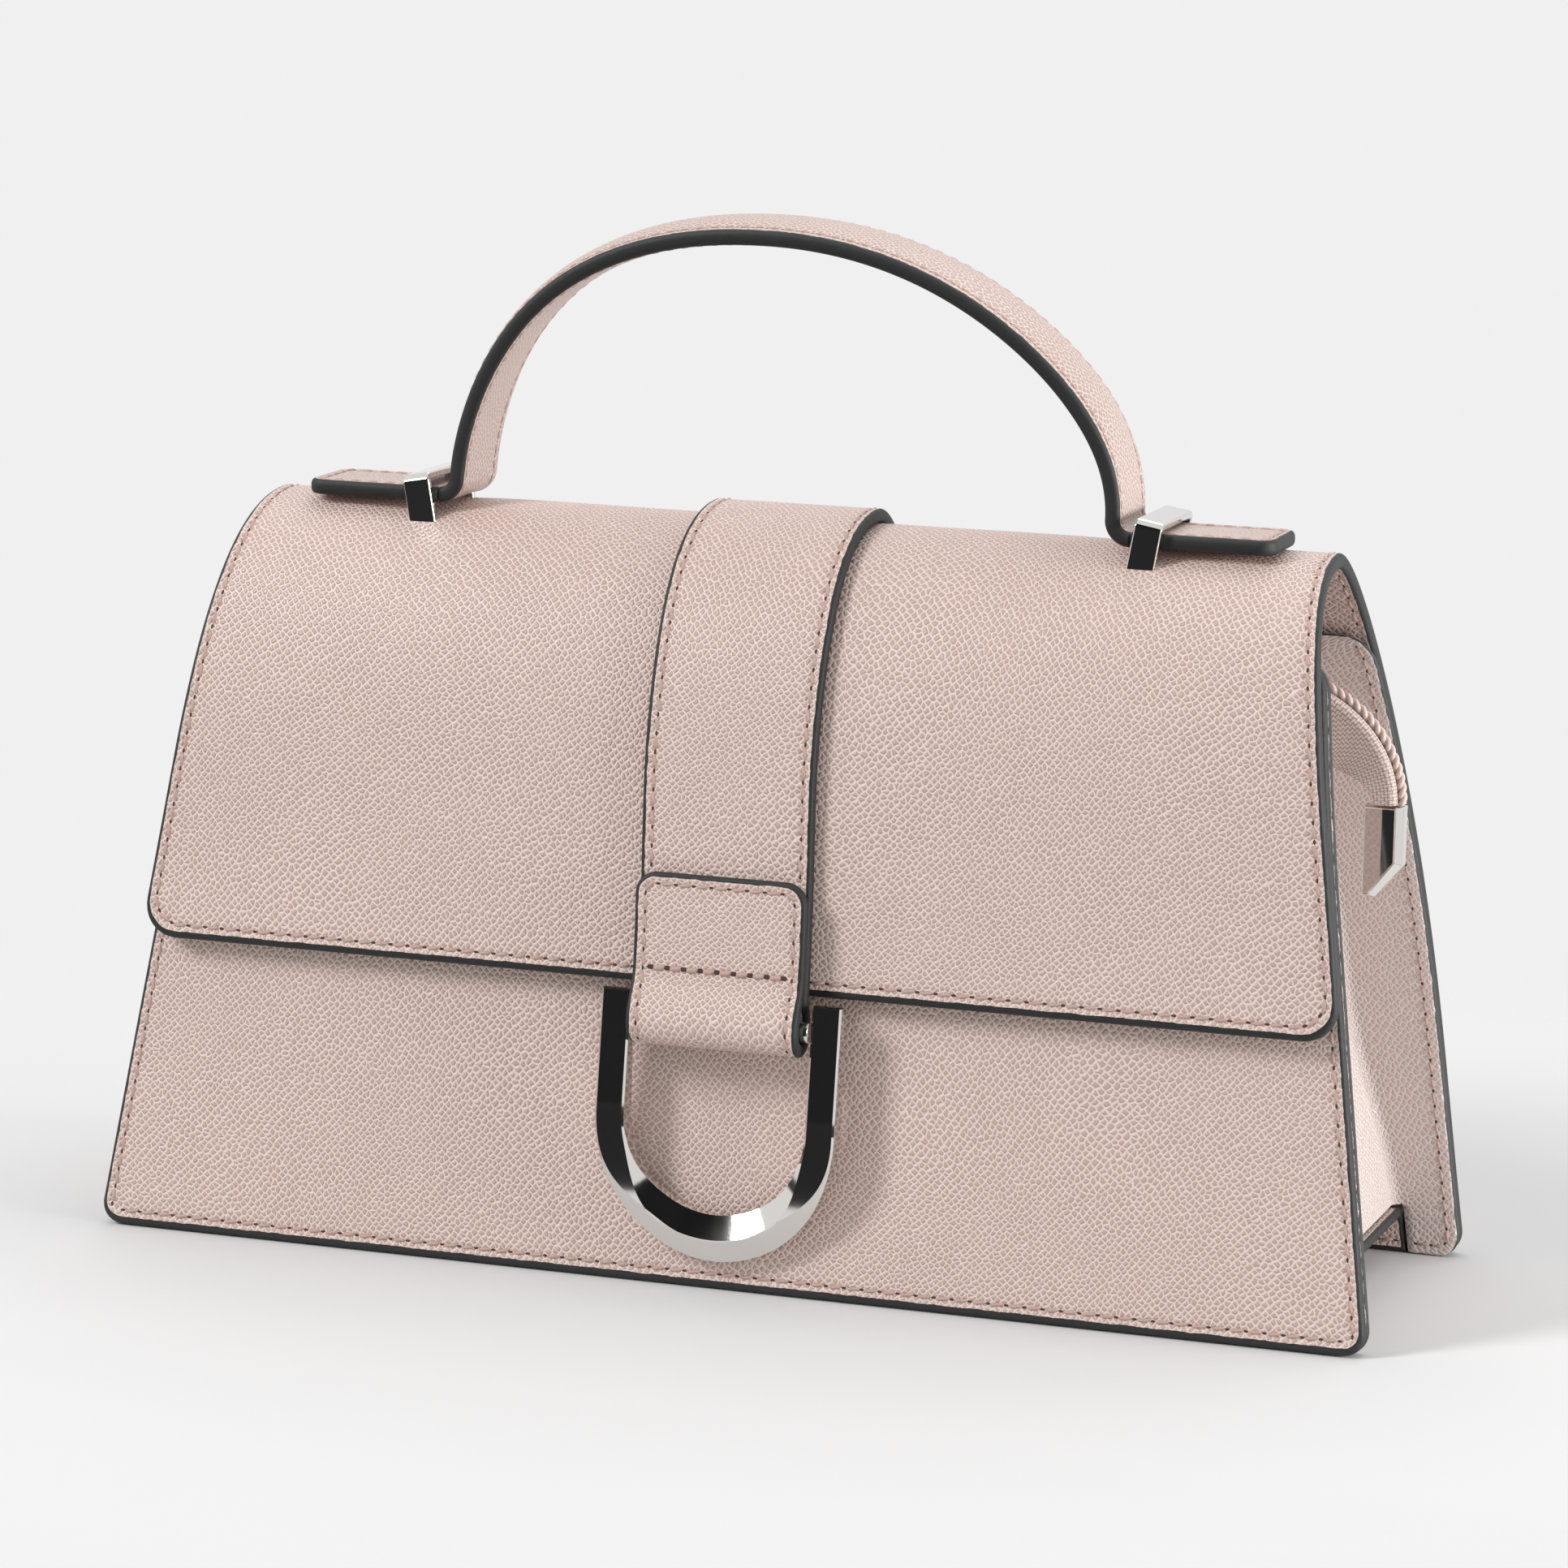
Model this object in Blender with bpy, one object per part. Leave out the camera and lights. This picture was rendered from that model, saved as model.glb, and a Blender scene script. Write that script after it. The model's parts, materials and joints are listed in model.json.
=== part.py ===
"""A small flap handbag: stiff leather panels, folded side gussets, a zipped mouth under the flap,
a centre strap looped round a horseshoe ring, and an arched handle held by two metal keepers.

Metres, +Z up, +X to the wearer's right as seen from the front, the front faces -Y. The origin is
the centre of the footprint box, on the floor.
"""
import math

import bmesh
import bpy
import numpy as np
from mathutils import Matrix, Vector

# Clearance left between pieces that touch
GAP = 0.0003

# Body
BODY_WIDTH = 0.270
BODY_DEPTH = 0.0885
SIDE_LEAN = 0.1425           # inward lean of each side, metres per metre of height
RIM_Z = 0.1326               # height of the mouth's rim
FRONT_LEAN = 0.136           # backward lean of the front panel
DRAW_IN_START_Z = 0.085      # above this height the front panel curves in to the mouth
DRAW_IN = 0.0061
PANEL_T = 0.0030
PANEL_CORNER_R = 0.005
PANEL_TOP_CORNER_R = 0.006

# Back sheet and flap, one line in section: up the back, over the ridge, down the front
BACK_BULGE = 0.0011          # how far the back stands out beyond its foot
BACK_BULGE_Z = 0.048
BACK_FOOT_PULL = 0.0240      # how long it stays upright above its foot
BACK_BULGE_PULL = 0.0144     # and below its bulge
BACK_PULL = 0.0547           # and above its bulge
RIDGE_Y = 0.00175
RIDGE_Z = 0.1506
RIDGE_PULL_BACK = 0.0145     # level run behind the ridge's crest
RIDGE_PULL_FRONT = 0.0200    # level run in front of it
SHOULDER_Z = 0.100           # here the flap's straight front begins
SHOULDER_PULL = 0.0370
LIP_Z = 0.0614               # lower edge of the flap
LIP_CORNER_R = 0.008
FLAP_OUTER_T = 0.0016
FLAP_LINING_T = 0.0011
SNAP_ROOM = 0.0025           # space between the closed flap and the front panel

# Gussets
GUSSET_T = 0.0020
GUSSET_BEND_R = 0.0030
FLANGE_FOOT = 0.0110         # flange width at the floor
FLANGE_TOP = 0.0165          # and from FLANGE_TOP_Z upwards
FLANGE_TOP_Z = 0.055
WALL_FOOT_Z = 0.0100         # lower edge of the gusset's wall
FOLD_DEPTH = 0.0095          # inward fold of the wall at the rim
FOLD_RISE_RATIO = 1.2        # exponent of the fold's growth with height
FOLD_SHAPE_RATIO = 1.5       # exponent of the fold's plan
WALL_DIP = 0.0140            # how far the wall's top edge dips between its flanges
DIP_SQUARENESS = 0.45        # exponent of the dip's outline, lower is squarer

# Base
BASE_T = 0.0020
BASE_BEND_R = 0.0030
BOARD_T = 0.0015
BOARD_MARGIN = 0.0015

# Facings at the mouth, and the lining bag
FACING_T = 0.0015
FACING_HEIGHT = 0.0273
LINING_T = 0.0008
LINING_SLACK = 0.0008        # space left between the lining and the gussets

# Zip
ZIP_Z = 0.1260
ZIP_END_ROOM = 0.0051        # the part that opens ends this far inside the gussets' folds
ZIP_END_LENGTH = 0.0117
TAPE_T = 0.0008
COIL_W = 0.0020
COIL_H = 0.0015
COIL_EASE = 0.00056          # bevel of the coil's crest
ZIP_SLOT = 0.0011            # space between the two coils, in which the slider's wedge runs
STOP_LENGTH = 0.0012
TAIL_NECK_W = 0.0085         # width of each tape over the gusset's edge
TAIL_TAPE_W = 0.0118         # and where the tail hangs outside
TAIL_TIP_W = 0.0058
TAIL_LEVEL = 0.0050          # the tail stays level this far, over the gusset's edge
TAIL_RUN = 0.0345            # how far the tail reaches sideways
TAIL_DROP = 0.0250           # and how far it drops
TAIL_ROOT_HALF = 0.00124     # half the crest's width where the tapes hang from it
TAIL_CREST_RATIOS = (0.9, 0.75)      # width and height of the crest's shoulder
TAIL_FOLD_RATIO = 0.38       # the tapes fold down within this share of the tail's length
TAIL_FOLD_ANGLE = 87         # degrees
TAIL_WIDEN_RATIO = 0.20      # they widen within this share
TAIL_NARROW_RATIO = 0.28     # and narrow to the cap over this last share
CAP_W = 0.0082
CAP_H = 0.0185
CAP_T = 0.0046
CAP_CHAMFER_W = 0.0055
CAP_CHAMFER_H = 0.0066
CAP_RECESS = 0.0004
CAP_FRAME = 0.0010

# Slider and puller
SLIDER_LENGTH = 0.0084
SLIDER_PLATE_T = 0.0009
SLIDER_LIP_T = 0.0008
SLIDER_NOSE_W = 0.0100
SLIDER_TAIL_W = 0.0086
SLIDER_SHOULDER_RATIO = 0.20     # it is widest this share of its half length ahead of its middle
SLIDER_TIP_RATIO = 0.72          # width of its nose's end
SLIDER_LIP_RATIO = 0.15          # its lips end this share of its half length ahead of its middle
WEDGE_T = 0.0005
WEDGE_LENGTH = 0.0024
BAIL_W = 0.0014
BAIL_T = 0.0009
BAIL_SPAN = 0.0052
PULL_PIN_R = 0.0006
PULL_W = 0.0056
PULL_T = 0.0013
PULL_LENGTH = 0.0140
PULL_EYE = 0.0046
PULL_EYE_RATIO = 0.70        # width of its end at the pin
PULL_TIP_RATIO = 0.60        # bevel of its tip, as a share of its half width

# Centre strap and ring
STRAP_W = 0.0360
STRAP_T = 0.0026
STRAP_END_RUN = 0.0100       # distance of the strap's back end from the flap's hinge
STRAP_CORNER_R = 0.0045
TAB_TOP_Z = 0.0830
BAR_R = 0.00225
BAR_DROP = 0.00675           # height of the flap's lip above the bar's centre
LOOP_FREE = 0.0063           # the strap leaves its line this far above the bar
TAB_FREE = 0.0100
RING_SIDE_PLAY = 0.00115     # between the strap's edge and each leg of the ring
RING_DEPTH = 0.0050
RING_LEG_W = 0.0061
RING_FOOT_W = 0.0095         # width of the band at the bottom of the bow
RING_LEG_BEVEL = 0.00134     # width of the band's front bevels on the legs
RING_FOOT_BEVEL = 0.00399    # and at the bottom of the bow
RING_BEVEL_RATIO = 0.20      # the bevels start this share of half the depth ahead of the middle
RING_BACK_RATIO = 0.70       # and the eased back edges this share behind it
RING_EASE_RATIO = 0.40       # width of the back edges' ease, as a share of half the depth
RING_EAR = 0.0052            # legs reach this far above the bar's centre
RING_STRAIGHT = 0.0203       # straight legs below the bar's centre
RING_REST_GAP = 0.0005

# Handle and keepers
HANDLE_W = 0.0200
HANDLE_T = 0.0030
HANDLE_Y = -0.00125
HANDLE_HALF_SPAN = 0.0698    # to the middle of the strap where the legs stand
HANDLE_TOP_Z = 0.2095
HANDLE_ROUNDNESS = 2.2       # exponent of the arch's outline, 2 is an ellipse
HANDLE_LEAN = 0.0090         # the crown leans this far to the left
HANDLE_SWAY = 0.0018
HANDLE_BEND_R = 0.0037       # bend of each foot into its keeper
HANDLE_END_LENGTH = 0.0257   # length of each flat end past its keeper's middle
HANDLE_END_CORNER_R = 0.0035
KEEPER_W = 0.0058
KEEPER_T = 0.0016
KEEPER_CHAMFER = 0.0012
KEEPER_LEAN = math.radians(10)
SLIT_DEPTH = 0.018           # depth of the slits below the strap, past the plates
KEEPER_ROOM = 0.0009         # height left in the keeper for the rising strap
PLATE_T = 0.0009
PLATE_MARGIN = 0.0020

# Magnetic snap
SNAP_Z = 0.0790
SNAP_R = 0.0070
SNAP_T = 0.0008
SNAP_BEVEL = 0.0003
SNAP_NOSE_R = 0.0036
SNAP_NOSE_H = 0.0004
SNAP_HOLE_R = 0.0046
WASHER_R = 0.0078
WASHER_T = 0.0006

FLAP_T = FLAP_OUTER_T + GAP + FLAP_LINING_T
HANDLE_JOINT_X = HANDLE_HALF_SPAN + HANDLE_BEND_R
KEEPER_FACE = HANDLE_T / 2 * math.tan(KEEPER_LEAN) + KEEPER_W / 2 / math.cos(KEEPER_LEAN)
KEEPER_X = HANDLE_JOINT_X + 2 * GAP + KEEPER_FACE
HANDLE_END_REACH = KEEPER_X + HANDLE_END_LENGTH
BULLNOSE_RATIO = 0.93        # how far a painted edge is rounded, 1 is a full half round
TURN_STEP = math.radians(9)
LONG_STEP = 0.030


def linear(*rgb):
    """Linear light from 0-255 display values."""
    return tuple((c / 255 / 12.92) if c < 10.3 else ((c / 255 + 0.055) / 1.055) ** 2.4 for c in rgb)


FINISHES = {
    "leather": (linear(205, 183, 172), 0.55, 0.0),
    "leather_lining": (linear(198, 174, 163), 0.60, 0.0),
    "textile": (linear(176, 158, 150), 0.90, 0.0),
    "zip_tape": (linear(212, 188, 180), 0.85, 0.0),
    "zip_coil": (linear(200, 172, 164), 0.50, 0.0),
    "nickel": (linear(214, 210, 206), 0.12, 1.0),
    "board": (linear(120, 110, 104), 0.80, 0.0),
}


def material(finish, name):
    """A Principled material of its own for one piece."""
    color, roughness, metallic = FINISHES[finish]
    made = bpy.data.materials.new(name)
    made.use_nodes = True
    shader = made.node_tree.nodes["Principled BSDF"]
    shader.inputs["Base Color"].default_value = (*color, 1.0)
    shader.inputs["Roughness"].default_value = roughness
    shader.inputs["Metallic"].default_value = metallic
    return made


def clear_scene():
    for obj in list(bpy.data.objects):
        bpy.data.objects.remove(obj, do_unlink=True)


def pivot(name, place, parent=None):
    """An empty on a joint's axis; pieces that turn or slide together hang under it."""
    empty = bpy.data.objects.new(name, None)
    bpy.context.scene.collection.objects.link(empty)
    empty.empty_display_size = 0.01
    empty["place"] = tuple(place)
    if parent is not None:
        empty.parent = parent
        empty.location = Vector(place) - Vector(parent["place"])
    else:
        empty.location = place
    return empty


def add_piece(name, mesh, parent, finish=None, smooth=math.radians(32)):
    """Put a mesh given in the bag's own frame under its pivot."""
    mesh.transform(Matrix.Translation(-Vector(parent["place"])))
    piece = bpy.data.objects.new(name, mesh)
    bpy.context.scene.collection.objects.link(piece)
    piece.parent = parent
    if finish:
        mesh.materials.append(material(finish, name))
        mesh.shade_smooth()
        mesh.set_sharp_from_angle(angle=smooth)
    return piece


def mesh_from(name, points, faces):
    """A closed mesh with its faces turned outwards."""
    build = bmesh.new()
    verts = [build.verts.new(p) for p in points]
    for face in faces:
        build.faces.new([verts[k] for k in face])
    loose = [v for v in build.verts if not v.link_faces]
    bmesh.ops.delete(build, geom=loose, context="VERTS")
    bmesh.ops.recalc_face_normals(build, faces=build.faces[:])
    mesh = bpy.data.meshes.new(name)
    build.to_mesh(mesh)
    build.free()
    return mesh


def sheet_mesh(name, middle, offset, keep=None):
    """A sheet of leather: a grid of middle points, thickened both ways by offset.

    middle and offset are rows x columns x 3. keep marks the cells of the grid that exist.
    """
    rows, cols = middle.shape[:2]
    if keep is None:
        keep = np.ones((rows - 1, cols - 1), bool)
    points = np.concatenate(((middle + offset).reshape(-1, 3), (middle - offset).reshape(-1, 3)))
    under = rows * cols

    def at(i, j):
        return i * cols + j

    def there(i, j):
        return 0 <= i < rows - 1 and 0 <= j < cols - 1 and keep[i, j]

    faces = []
    for i in range(rows - 1):
        for j in range(cols - 1):
            if not keep[i, j]:
                continue
            corners = (at(i, j), at(i + 1, j), at(i + 1, j + 1), at(i, j + 1))
            faces.append(corners)
            faces.append(tuple(under + k for k in reversed(corners)))
            sides = ((i, j - 1), (i + 1, j), (i, j + 1), (i - 1, j))
            for k, side in enumerate(sides):
                if not there(*side):
                    a, b = corners[k], corners[(k + 1) % 4]
                    faces.append((b, a, under + a, under + b))
    return mesh_from(name, points, faces)


def loft_mesh(name, rings, closed=False):
    """Skin a list of rings of equal count, with caps on the first and last, or joined up."""
    rings = [np.asarray(ring, float) for ring in rings]
    count = len(rings[0])
    faces = []
    spans = len(rings) if closed else len(rings) - 1
    for i in range(spans):
        a, b = i * count, (i + 1) % len(rings) * count
        for j in range(count):
            k = (j + 1) % count
            faces.append((a + j, a + k, b + k, b + j))
    if not closed:
        faces.append(tuple(range(count)))
        faces.append(tuple(reversed(range((len(rings) - 1) * count, len(rings) * count))))
    return mesh_from(name, np.concatenate(rings), faces)


def prism_mesh(name, outline, frame, low, high):
    """An outline of (a, b) points swept from low to high; frame gives its point in space."""
    rings = [[frame(a, b, depth) for a, b in outline] for depth in (low, high)]
    return loft_mesh(name, rings)


def turned_mesh(name, profile, centre, axis, sides=24):
    """A profile of (radius, height) turned about an axis through centre."""
    axis = Vector(axis).normalized()
    across = axis.orthogonal().normalized()
    along = axis.cross(across)
    rings = []
    for radius, height in profile:
        ring = []
        for k in range(sides):
            turn = 2 * math.pi * k / sides
            spoke = across * math.cos(turn) + along * math.sin(turn)
            ring.append(Vector(centre) + spoke * radius + axis * height)
        rings.append(ring)
    return loft_mesh(name, rings)


def cut(piece, cutter):
    boolean = piece.modifiers.new("cut", "BOOLEAN")
    boolean.operation = "DIFFERENCE"
    boolean.solver = "EXACT"
    boolean.object = cutter


def join(piece, other):
    """Union with another closed mesh that is kept only as a guide."""
    boolean = piece.modifiers.new("join", "BOOLEAN")
    boolean.operation = "UNION"
    boolean.solver = "EXACT"
    boolean.object = other
    as_guide(other)


def as_guide(piece):
    piece.hide_render = True
    piece.display_type = "WIRE"


def edge_steps(thickness):
    """Distances from a painted edge at which its round is drawn."""
    return np.array([0.0, 1.0]) * thickness / 2


def edge_fraction(distance, thickness):
    """Share of the full thickness at a distance from a painted edge."""
    inward = np.clip(1 - np.asarray(distance) / (thickness / 2), 0, 1) * BULLNOSE_RATIO
    return np.sqrt(1 - inward ** 2)


class Line:
    """A plane curve through dense points, read by the length run along it."""

    def __init__(self, points):
        self.points = np.asarray(points, float)
        steps = np.diff(self.points, axis=0)
        self.run = np.concatenate(([0.0], np.cumsum(np.hypot(steps[:, 0], steps[:, 1]))))
        heading = np.unwrap(np.arctan2(steps[:, 1], steps[:, 0]))
        middle = (self.run[1:] + self.run[:-1]) / 2
        self.heading = np.interp(self.run, middle, heading)
        self.length = self.run[-1]

    def at(self, run):
        return np.stack([np.interp(run, self.run, self.points[:, k]) for k in (0, 1)], -1)

    def normal(self, run):
        """Unit normal on the left of the way."""
        heading = np.interp(run, self.run, self.heading)
        return np.stack([-np.sin(heading), np.cos(heading)], -1)

    def stations(self, start, end):
        """Lengths from start to end, closer together where the line turns."""
        inside = (self.run > start) & (self.run < end)
        run = np.concatenate(([start], self.run[inside], [end]))
        heading = np.interp(run, self.run, self.heading)
        cost = np.abs(np.diff(heading)) / TURN_STEP + np.diff(run) / LONG_STEP
        total = np.concatenate(([0.0], np.cumsum(cost)))
        count = max(2, math.ceil(total[-1]) + 1)
        return np.interp(np.linspace(0, total[-1], count), total, run)

    def offset(self, distance):
        """The line moved to its left by distance."""
        return Line(self.points + self.normal(self.run) * distance)


def bezier(a, b, c, d, count=160):
    t = np.linspace(0, 1, count)[:, None]
    a, b, c, d = (np.asarray(p, float) for p in (a, b, c, d))
    return (1 - t) ** 3 * a + 3 * (1 - t) ** 2 * t * b + 3 * (1 - t) * t ** 2 * c + t ** 3 * d


def straight(a, b, count=60):
    t = np.linspace(0, 1, count)[:, None]
    return (1 - t) * np.asarray(a, float) + t * np.asarray(b, float)


def arc(centre, radius, start, end, count=40):
    turn = np.radians(np.linspace(start, end, count))
    return np.stack([centre[0] + radius * np.cos(turn), centre[1] + radius * np.sin(turn)], -1)


def smooth(value):
    value = np.clip(value, 0, 1)
    return value * value * (3 - 2 * value)


def corner_steps(radius, count=4):
    """Heights above a rounded corner's edge, and how far the side is drawn in at each."""
    turn = np.linspace(0, math.pi / 2, count + 1)
    return radius * (1 - np.cos(turn)), radius * (1 - np.sin(turn))


def corner_inset(distance, radius):
    """How far a side is drawn in at a distance from an edge with rounded corners."""
    reach = np.clip(radius - np.asarray(distance, float), 0, radius)
    return radius - np.sqrt(radius ** 2 - reach ** 2)


def side_line(z):
    """Half the width of the panels at a height."""
    return BODY_WIDTH / 2 - SIDE_LEAN * np.asarray(z, float)


def front_face(z):
    """Outer face of the front panel: a straight lean, then a curve in to the mouth."""
    z = np.asarray(z, float)
    over = np.clip(z - DRAW_IN_START_Z, 0, None) / (RIM_Z - DRAW_IN_START_Z)
    return -BODY_DEPTH / 2 + FRONT_LEAN * z + DRAW_IN * over ** 2


def level_thickness(face, z, thickness):
    """Thickness of a leaning panel measured level."""
    step = 1e-4
    slope = (face(z + step) - face(z - step)) / (2 * step)
    return thickness * np.sqrt(1 + slope ** 2)


FLAP_STANDOFF = FLAP_T + SNAP_ROOM


def flap_front(z):
    """Outer face of the flap's straight front, parallel to the panel."""
    return -BODY_DEPTH / 2 + FRONT_LEAN * z - FLAP_STANDOFF


def shell_line():
    """Section of the back sheet and flap, from the foot of the back to the flap's lip, as (y, z)."""
    foot = (BODY_DEPTH / 2, -0.001)
    bulge = (BODY_DEPTH / 2 + BACK_BULGE, BACK_BULGE_Z)
    crest = (RIDGE_Y, RIDGE_Z)
    shoulder = (flap_front(SHOULDER_Z), SHOULDER_Z)
    reach = SHOULDER_PULL / math.hypot(1, FRONT_LEAN)
    above = (shoulder[0] + reach * FRONT_LEAN, SHOULDER_Z + reach)
    # The back's foot rises in a soft curve into the bulge, so that the sheet has no kink
    parts = (
        bezier(foot, (foot[0], BACK_FOOT_PULL), (bulge[0], BACK_BULGE_Z - BACK_BULGE_PULL), bulge),
        bezier(bulge, (bulge[0], bulge[1] + BACK_PULL), (crest[0] + RIDGE_PULL_BACK, crest[1]), crest),
        bezier(crest, (crest[0] - RIDGE_PULL_FRONT, crest[1]), above, shoulder),
        straight(shoulder, (flap_front(LIP_Z), LIP_Z)),
    )
    points = np.concatenate([parts[0]] + [part[1:] for part in parts[1:]])
    return Line(points)


SHELL = shell_line()
CREST_RUN = float(SHELL.run[np.argmax(SHELL.points[:, 1])])


def back_run(z):
    """Length along the shell's line at which its back reaches a height."""
    rising = SHELL.run <= CREST_RUN
    return float(np.interp(z, SHELL.points[rising, 1], SHELL.run[rising]))


def front_run(z):
    """Length along the shell's line at which its front comes down to a height."""
    falling = SHELL.run >= CREST_RUN
    return float(np.interp(-z, -SHELL.points[falling, 1], SHELL.run[falling]))


def back_face(z):
    """Outer face of the back panel."""
    rising = SHELL.run <= CREST_RUN
    return np.interp(z, SHELL.points[rising, 1], SHELL.points[rising, 0])


def front_inner(z):
    return front_face(z) + level_thickness(front_face, z, PANEL_T)


def back_inner(z):
    return back_face(z) - level_thickness(back_face, z, PANEL_T)


def flange_width(z):
    return FLANGE_FOOT + (FLANGE_TOP - FLANGE_FOOT) * smooth((z - WALL_FOOT_Z) / (FLANGE_TOP_Z - WALL_FOOT_Z))


def fold_depth(z):
    """Inward fold of the gusset's wall, from nothing at its foot."""
    rise = np.clip((z - WALL_FOOT_Z) / (RIM_Z - WALL_FOOT_Z), 0, None)
    return FOLD_DEPTH * rise ** FOLD_RISE_RATIO


def wall_line(z):
    """Middle of the gusset's wall beside its bends."""
    return side_line(z) - flange_width(z) - GUSSET_BEND_R


def ribbon_mesh(name, line, start, end, across, frame, half_width, thickness,
                round_start=False, round_end=False, corner_start=0.0, corner_end=0.0, inner_columns=0):
    """A strip of leather along a line, with round painted edges along its sides.

    half_width gives half the strip's width for lengths along the line. frame turns a point of the
    line's plane and a place across it into a point in space.
    """
    ends = []
    for rounded, corner in ((round_start, corner_start), (round_end, corner_end)):
        marks = [np.zeros(1)]
        if rounded:
            marks.append(edge_steps(thickness))
        if corner:
            marks.append(corner_steps(corner)[0])
        ends.append(np.unique(np.round(np.concatenate(marks), 7)))
    first, last = ends[0][-1], ends[1][-1]
    run = np.concatenate((start + ends[0][:-1], line.stations(start + first, end - last),
                          end - ends[1][:-1][::-1]))
    place = line.at(run)
    normal = line.normal(run)
    half = half_width(run)
    if corner_start:
        half = half - corner_inset(run - start, corner_start)
    if corner_end:
        half = half - corner_inset(end - run, corner_end)
    sides = edge_steps(thickness)
    steps = [-half[:, None] + sides[None, :]]
    if inner_columns:
        share = np.linspace(-1, 1, inner_columns + 2)[1:-1]
        steps.append((half[:, None] - sides[-1]) * share[None, :])
    steps.append(half[:, None] - sides[::-1][None, :])
    column = np.concatenate(steps, axis=1)
    from_edge = np.minimum(half[:, None] - np.abs(column), thickness)
    if round_start:
        from_edge = np.minimum(from_edge, (run - start)[:, None])
    if round_end:
        from_edge = np.minimum(from_edge, (end - run)[:, None])
    swell = thickness / 2 * edge_fraction(from_edge, thickness)
    middle = frame(place[:, None, 0], place[:, None, 1], across + column)
    tip = frame(place[:, None, 0] + normal[:, None, 0] * 1e-3,
                place[:, None, 1] + normal[:, None, 1] * 1e-3, across + column)
    outward = (tip - middle) * 1e3
    return sheet_mesh(name, middle, outward * swell[..., None])


def in_yz(y, z, x):
    """A point of a line drawn in section, at a place along the bag's width."""
    y, z, x = np.broadcast_arrays(y, z, x)
    return np.stack([x, y, z], -1)


def in_xz(x, z, y):
    """A point of a line drawn in the front view, at a place in depth."""
    x, z, y = np.broadcast_arrays(x, z, y)
    return np.stack([x, y, z], -1)


def panel_columns(half, thickness):
    """Places across a panel at each height: both round edges and the middle."""
    half = half[:, None]
    sides = edge_steps(thickness)
    return np.concatenate((-half + sides, np.zeros_like(half), half - sides[::-1]), axis=1)


def panel_mesh(name, face, thickness, foot, top, half_width, corner_foot=0.0, corner_top=0.0):
    """An upright panel cut square and level at its foot and top, with round painted sides.

    face gives the outer face's y at a height; a negative thickness lies in front of the face.
    """
    low, high = foot, top
    heights = [np.array([foot])]
    if corner_foot:
        heights.append(foot + corner_steps(corner_foot)[0])
        low = foot + corner_foot
    if corner_top:
        heights.append(top - corner_steps(corner_top)[0])
        high = top - corner_top
    heights.append(np.linspace(low, high, 9))
    heights.append(np.array([top]))
    z = np.unique(np.round(np.concatenate(heights), 7))
    half = half_width(z)
    if corner_foot:
        half = half - corner_inset(z - foot, corner_foot)
    if corner_top:
        half = half - corner_inset(top - z, corner_top)
    column = panel_columns(half, abs(thickness))
    level = level_thickness(face, z, thickness)
    swell = level[:, None] / 2 * edge_fraction(half[:, None] - np.abs(column), abs(thickness))
    y = (face(z) + level / 2)[:, None]
    middle = in_yz(y, z[:, None], column)
    offset = np.zeros_like(middle)
    offset[..., 1] = -np.abs(swell)
    return sheet_mesh(name, middle, offset)


def make_panels(root):
    front = panel_mesh("front_panel", front_face, PANEL_T, 0.0, RIM_Z, side_line,
                       PANEL_CORNER_R, PANEL_TOP_CORNER_R)
    add_piece("front_panel", front, root, "leather")

    hinge = back_run(RIM_Z)
    foot = back_run(0.0)
    marks = np.unique(np.round(np.concatenate((
        foot + corner_steps(PANEL_CORNER_R)[0],
        SHELL.stations(foot + PANEL_CORNER_R, hinge - GAP / 2))), 7))
    outer = SHELL.at(marks)
    normal = SHELL.normal(marks)
    # The foot is cut level: there the thickness is measured level, higher up square to the sheet
    level = 1 - smooth((marks - foot) / PANEL_CORNER_R / 2)[:, None]
    inward = normal * (1 - level) + np.array([-1.0, 0.0]) * level
    inward = inward / np.sum(inward * normal, axis=1, keepdims=True)
    half = side_line(outer[:, 1]) - corner_inset(marks - foot, PANEL_CORNER_R)
    column = panel_columns(half, PANEL_T)
    core = outer + inward * PANEL_T / 2
    swell = PANEL_T / 2 * edge_fraction(half[:, None] - np.abs(column), PANEL_T)
    middle = in_yz(core[:, None, 0], core[:, None, 1], column)
    offset = np.zeros_like(middle)
    offset[..., 1] = inward[:, None, 0] * swell
    offset[..., 2] = inward[:, None, 1] * swell
    add_piece("back_panel", sheet_mesh("back_panel", middle, offset), root, "leather")


FLANGE_CELLS = 2                 # columns of cells across one flange of a gusset's plan
WALL_START, WALL_END = 5, 13     # columns of the plan between the gusset's bends
LINING_FLOOR_Z = WALL_FOOT_Z + BOARD_T + GAP
LINING_TOP_Z = RIM_Z - FACING_HEIGHT - GAP


def wall_rows():
    """Heights at which the gusset's wall and the lining beside it are drawn."""
    return np.linspace(LINING_FLOOR_Z, LINING_TOP_Z, 6)


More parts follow.
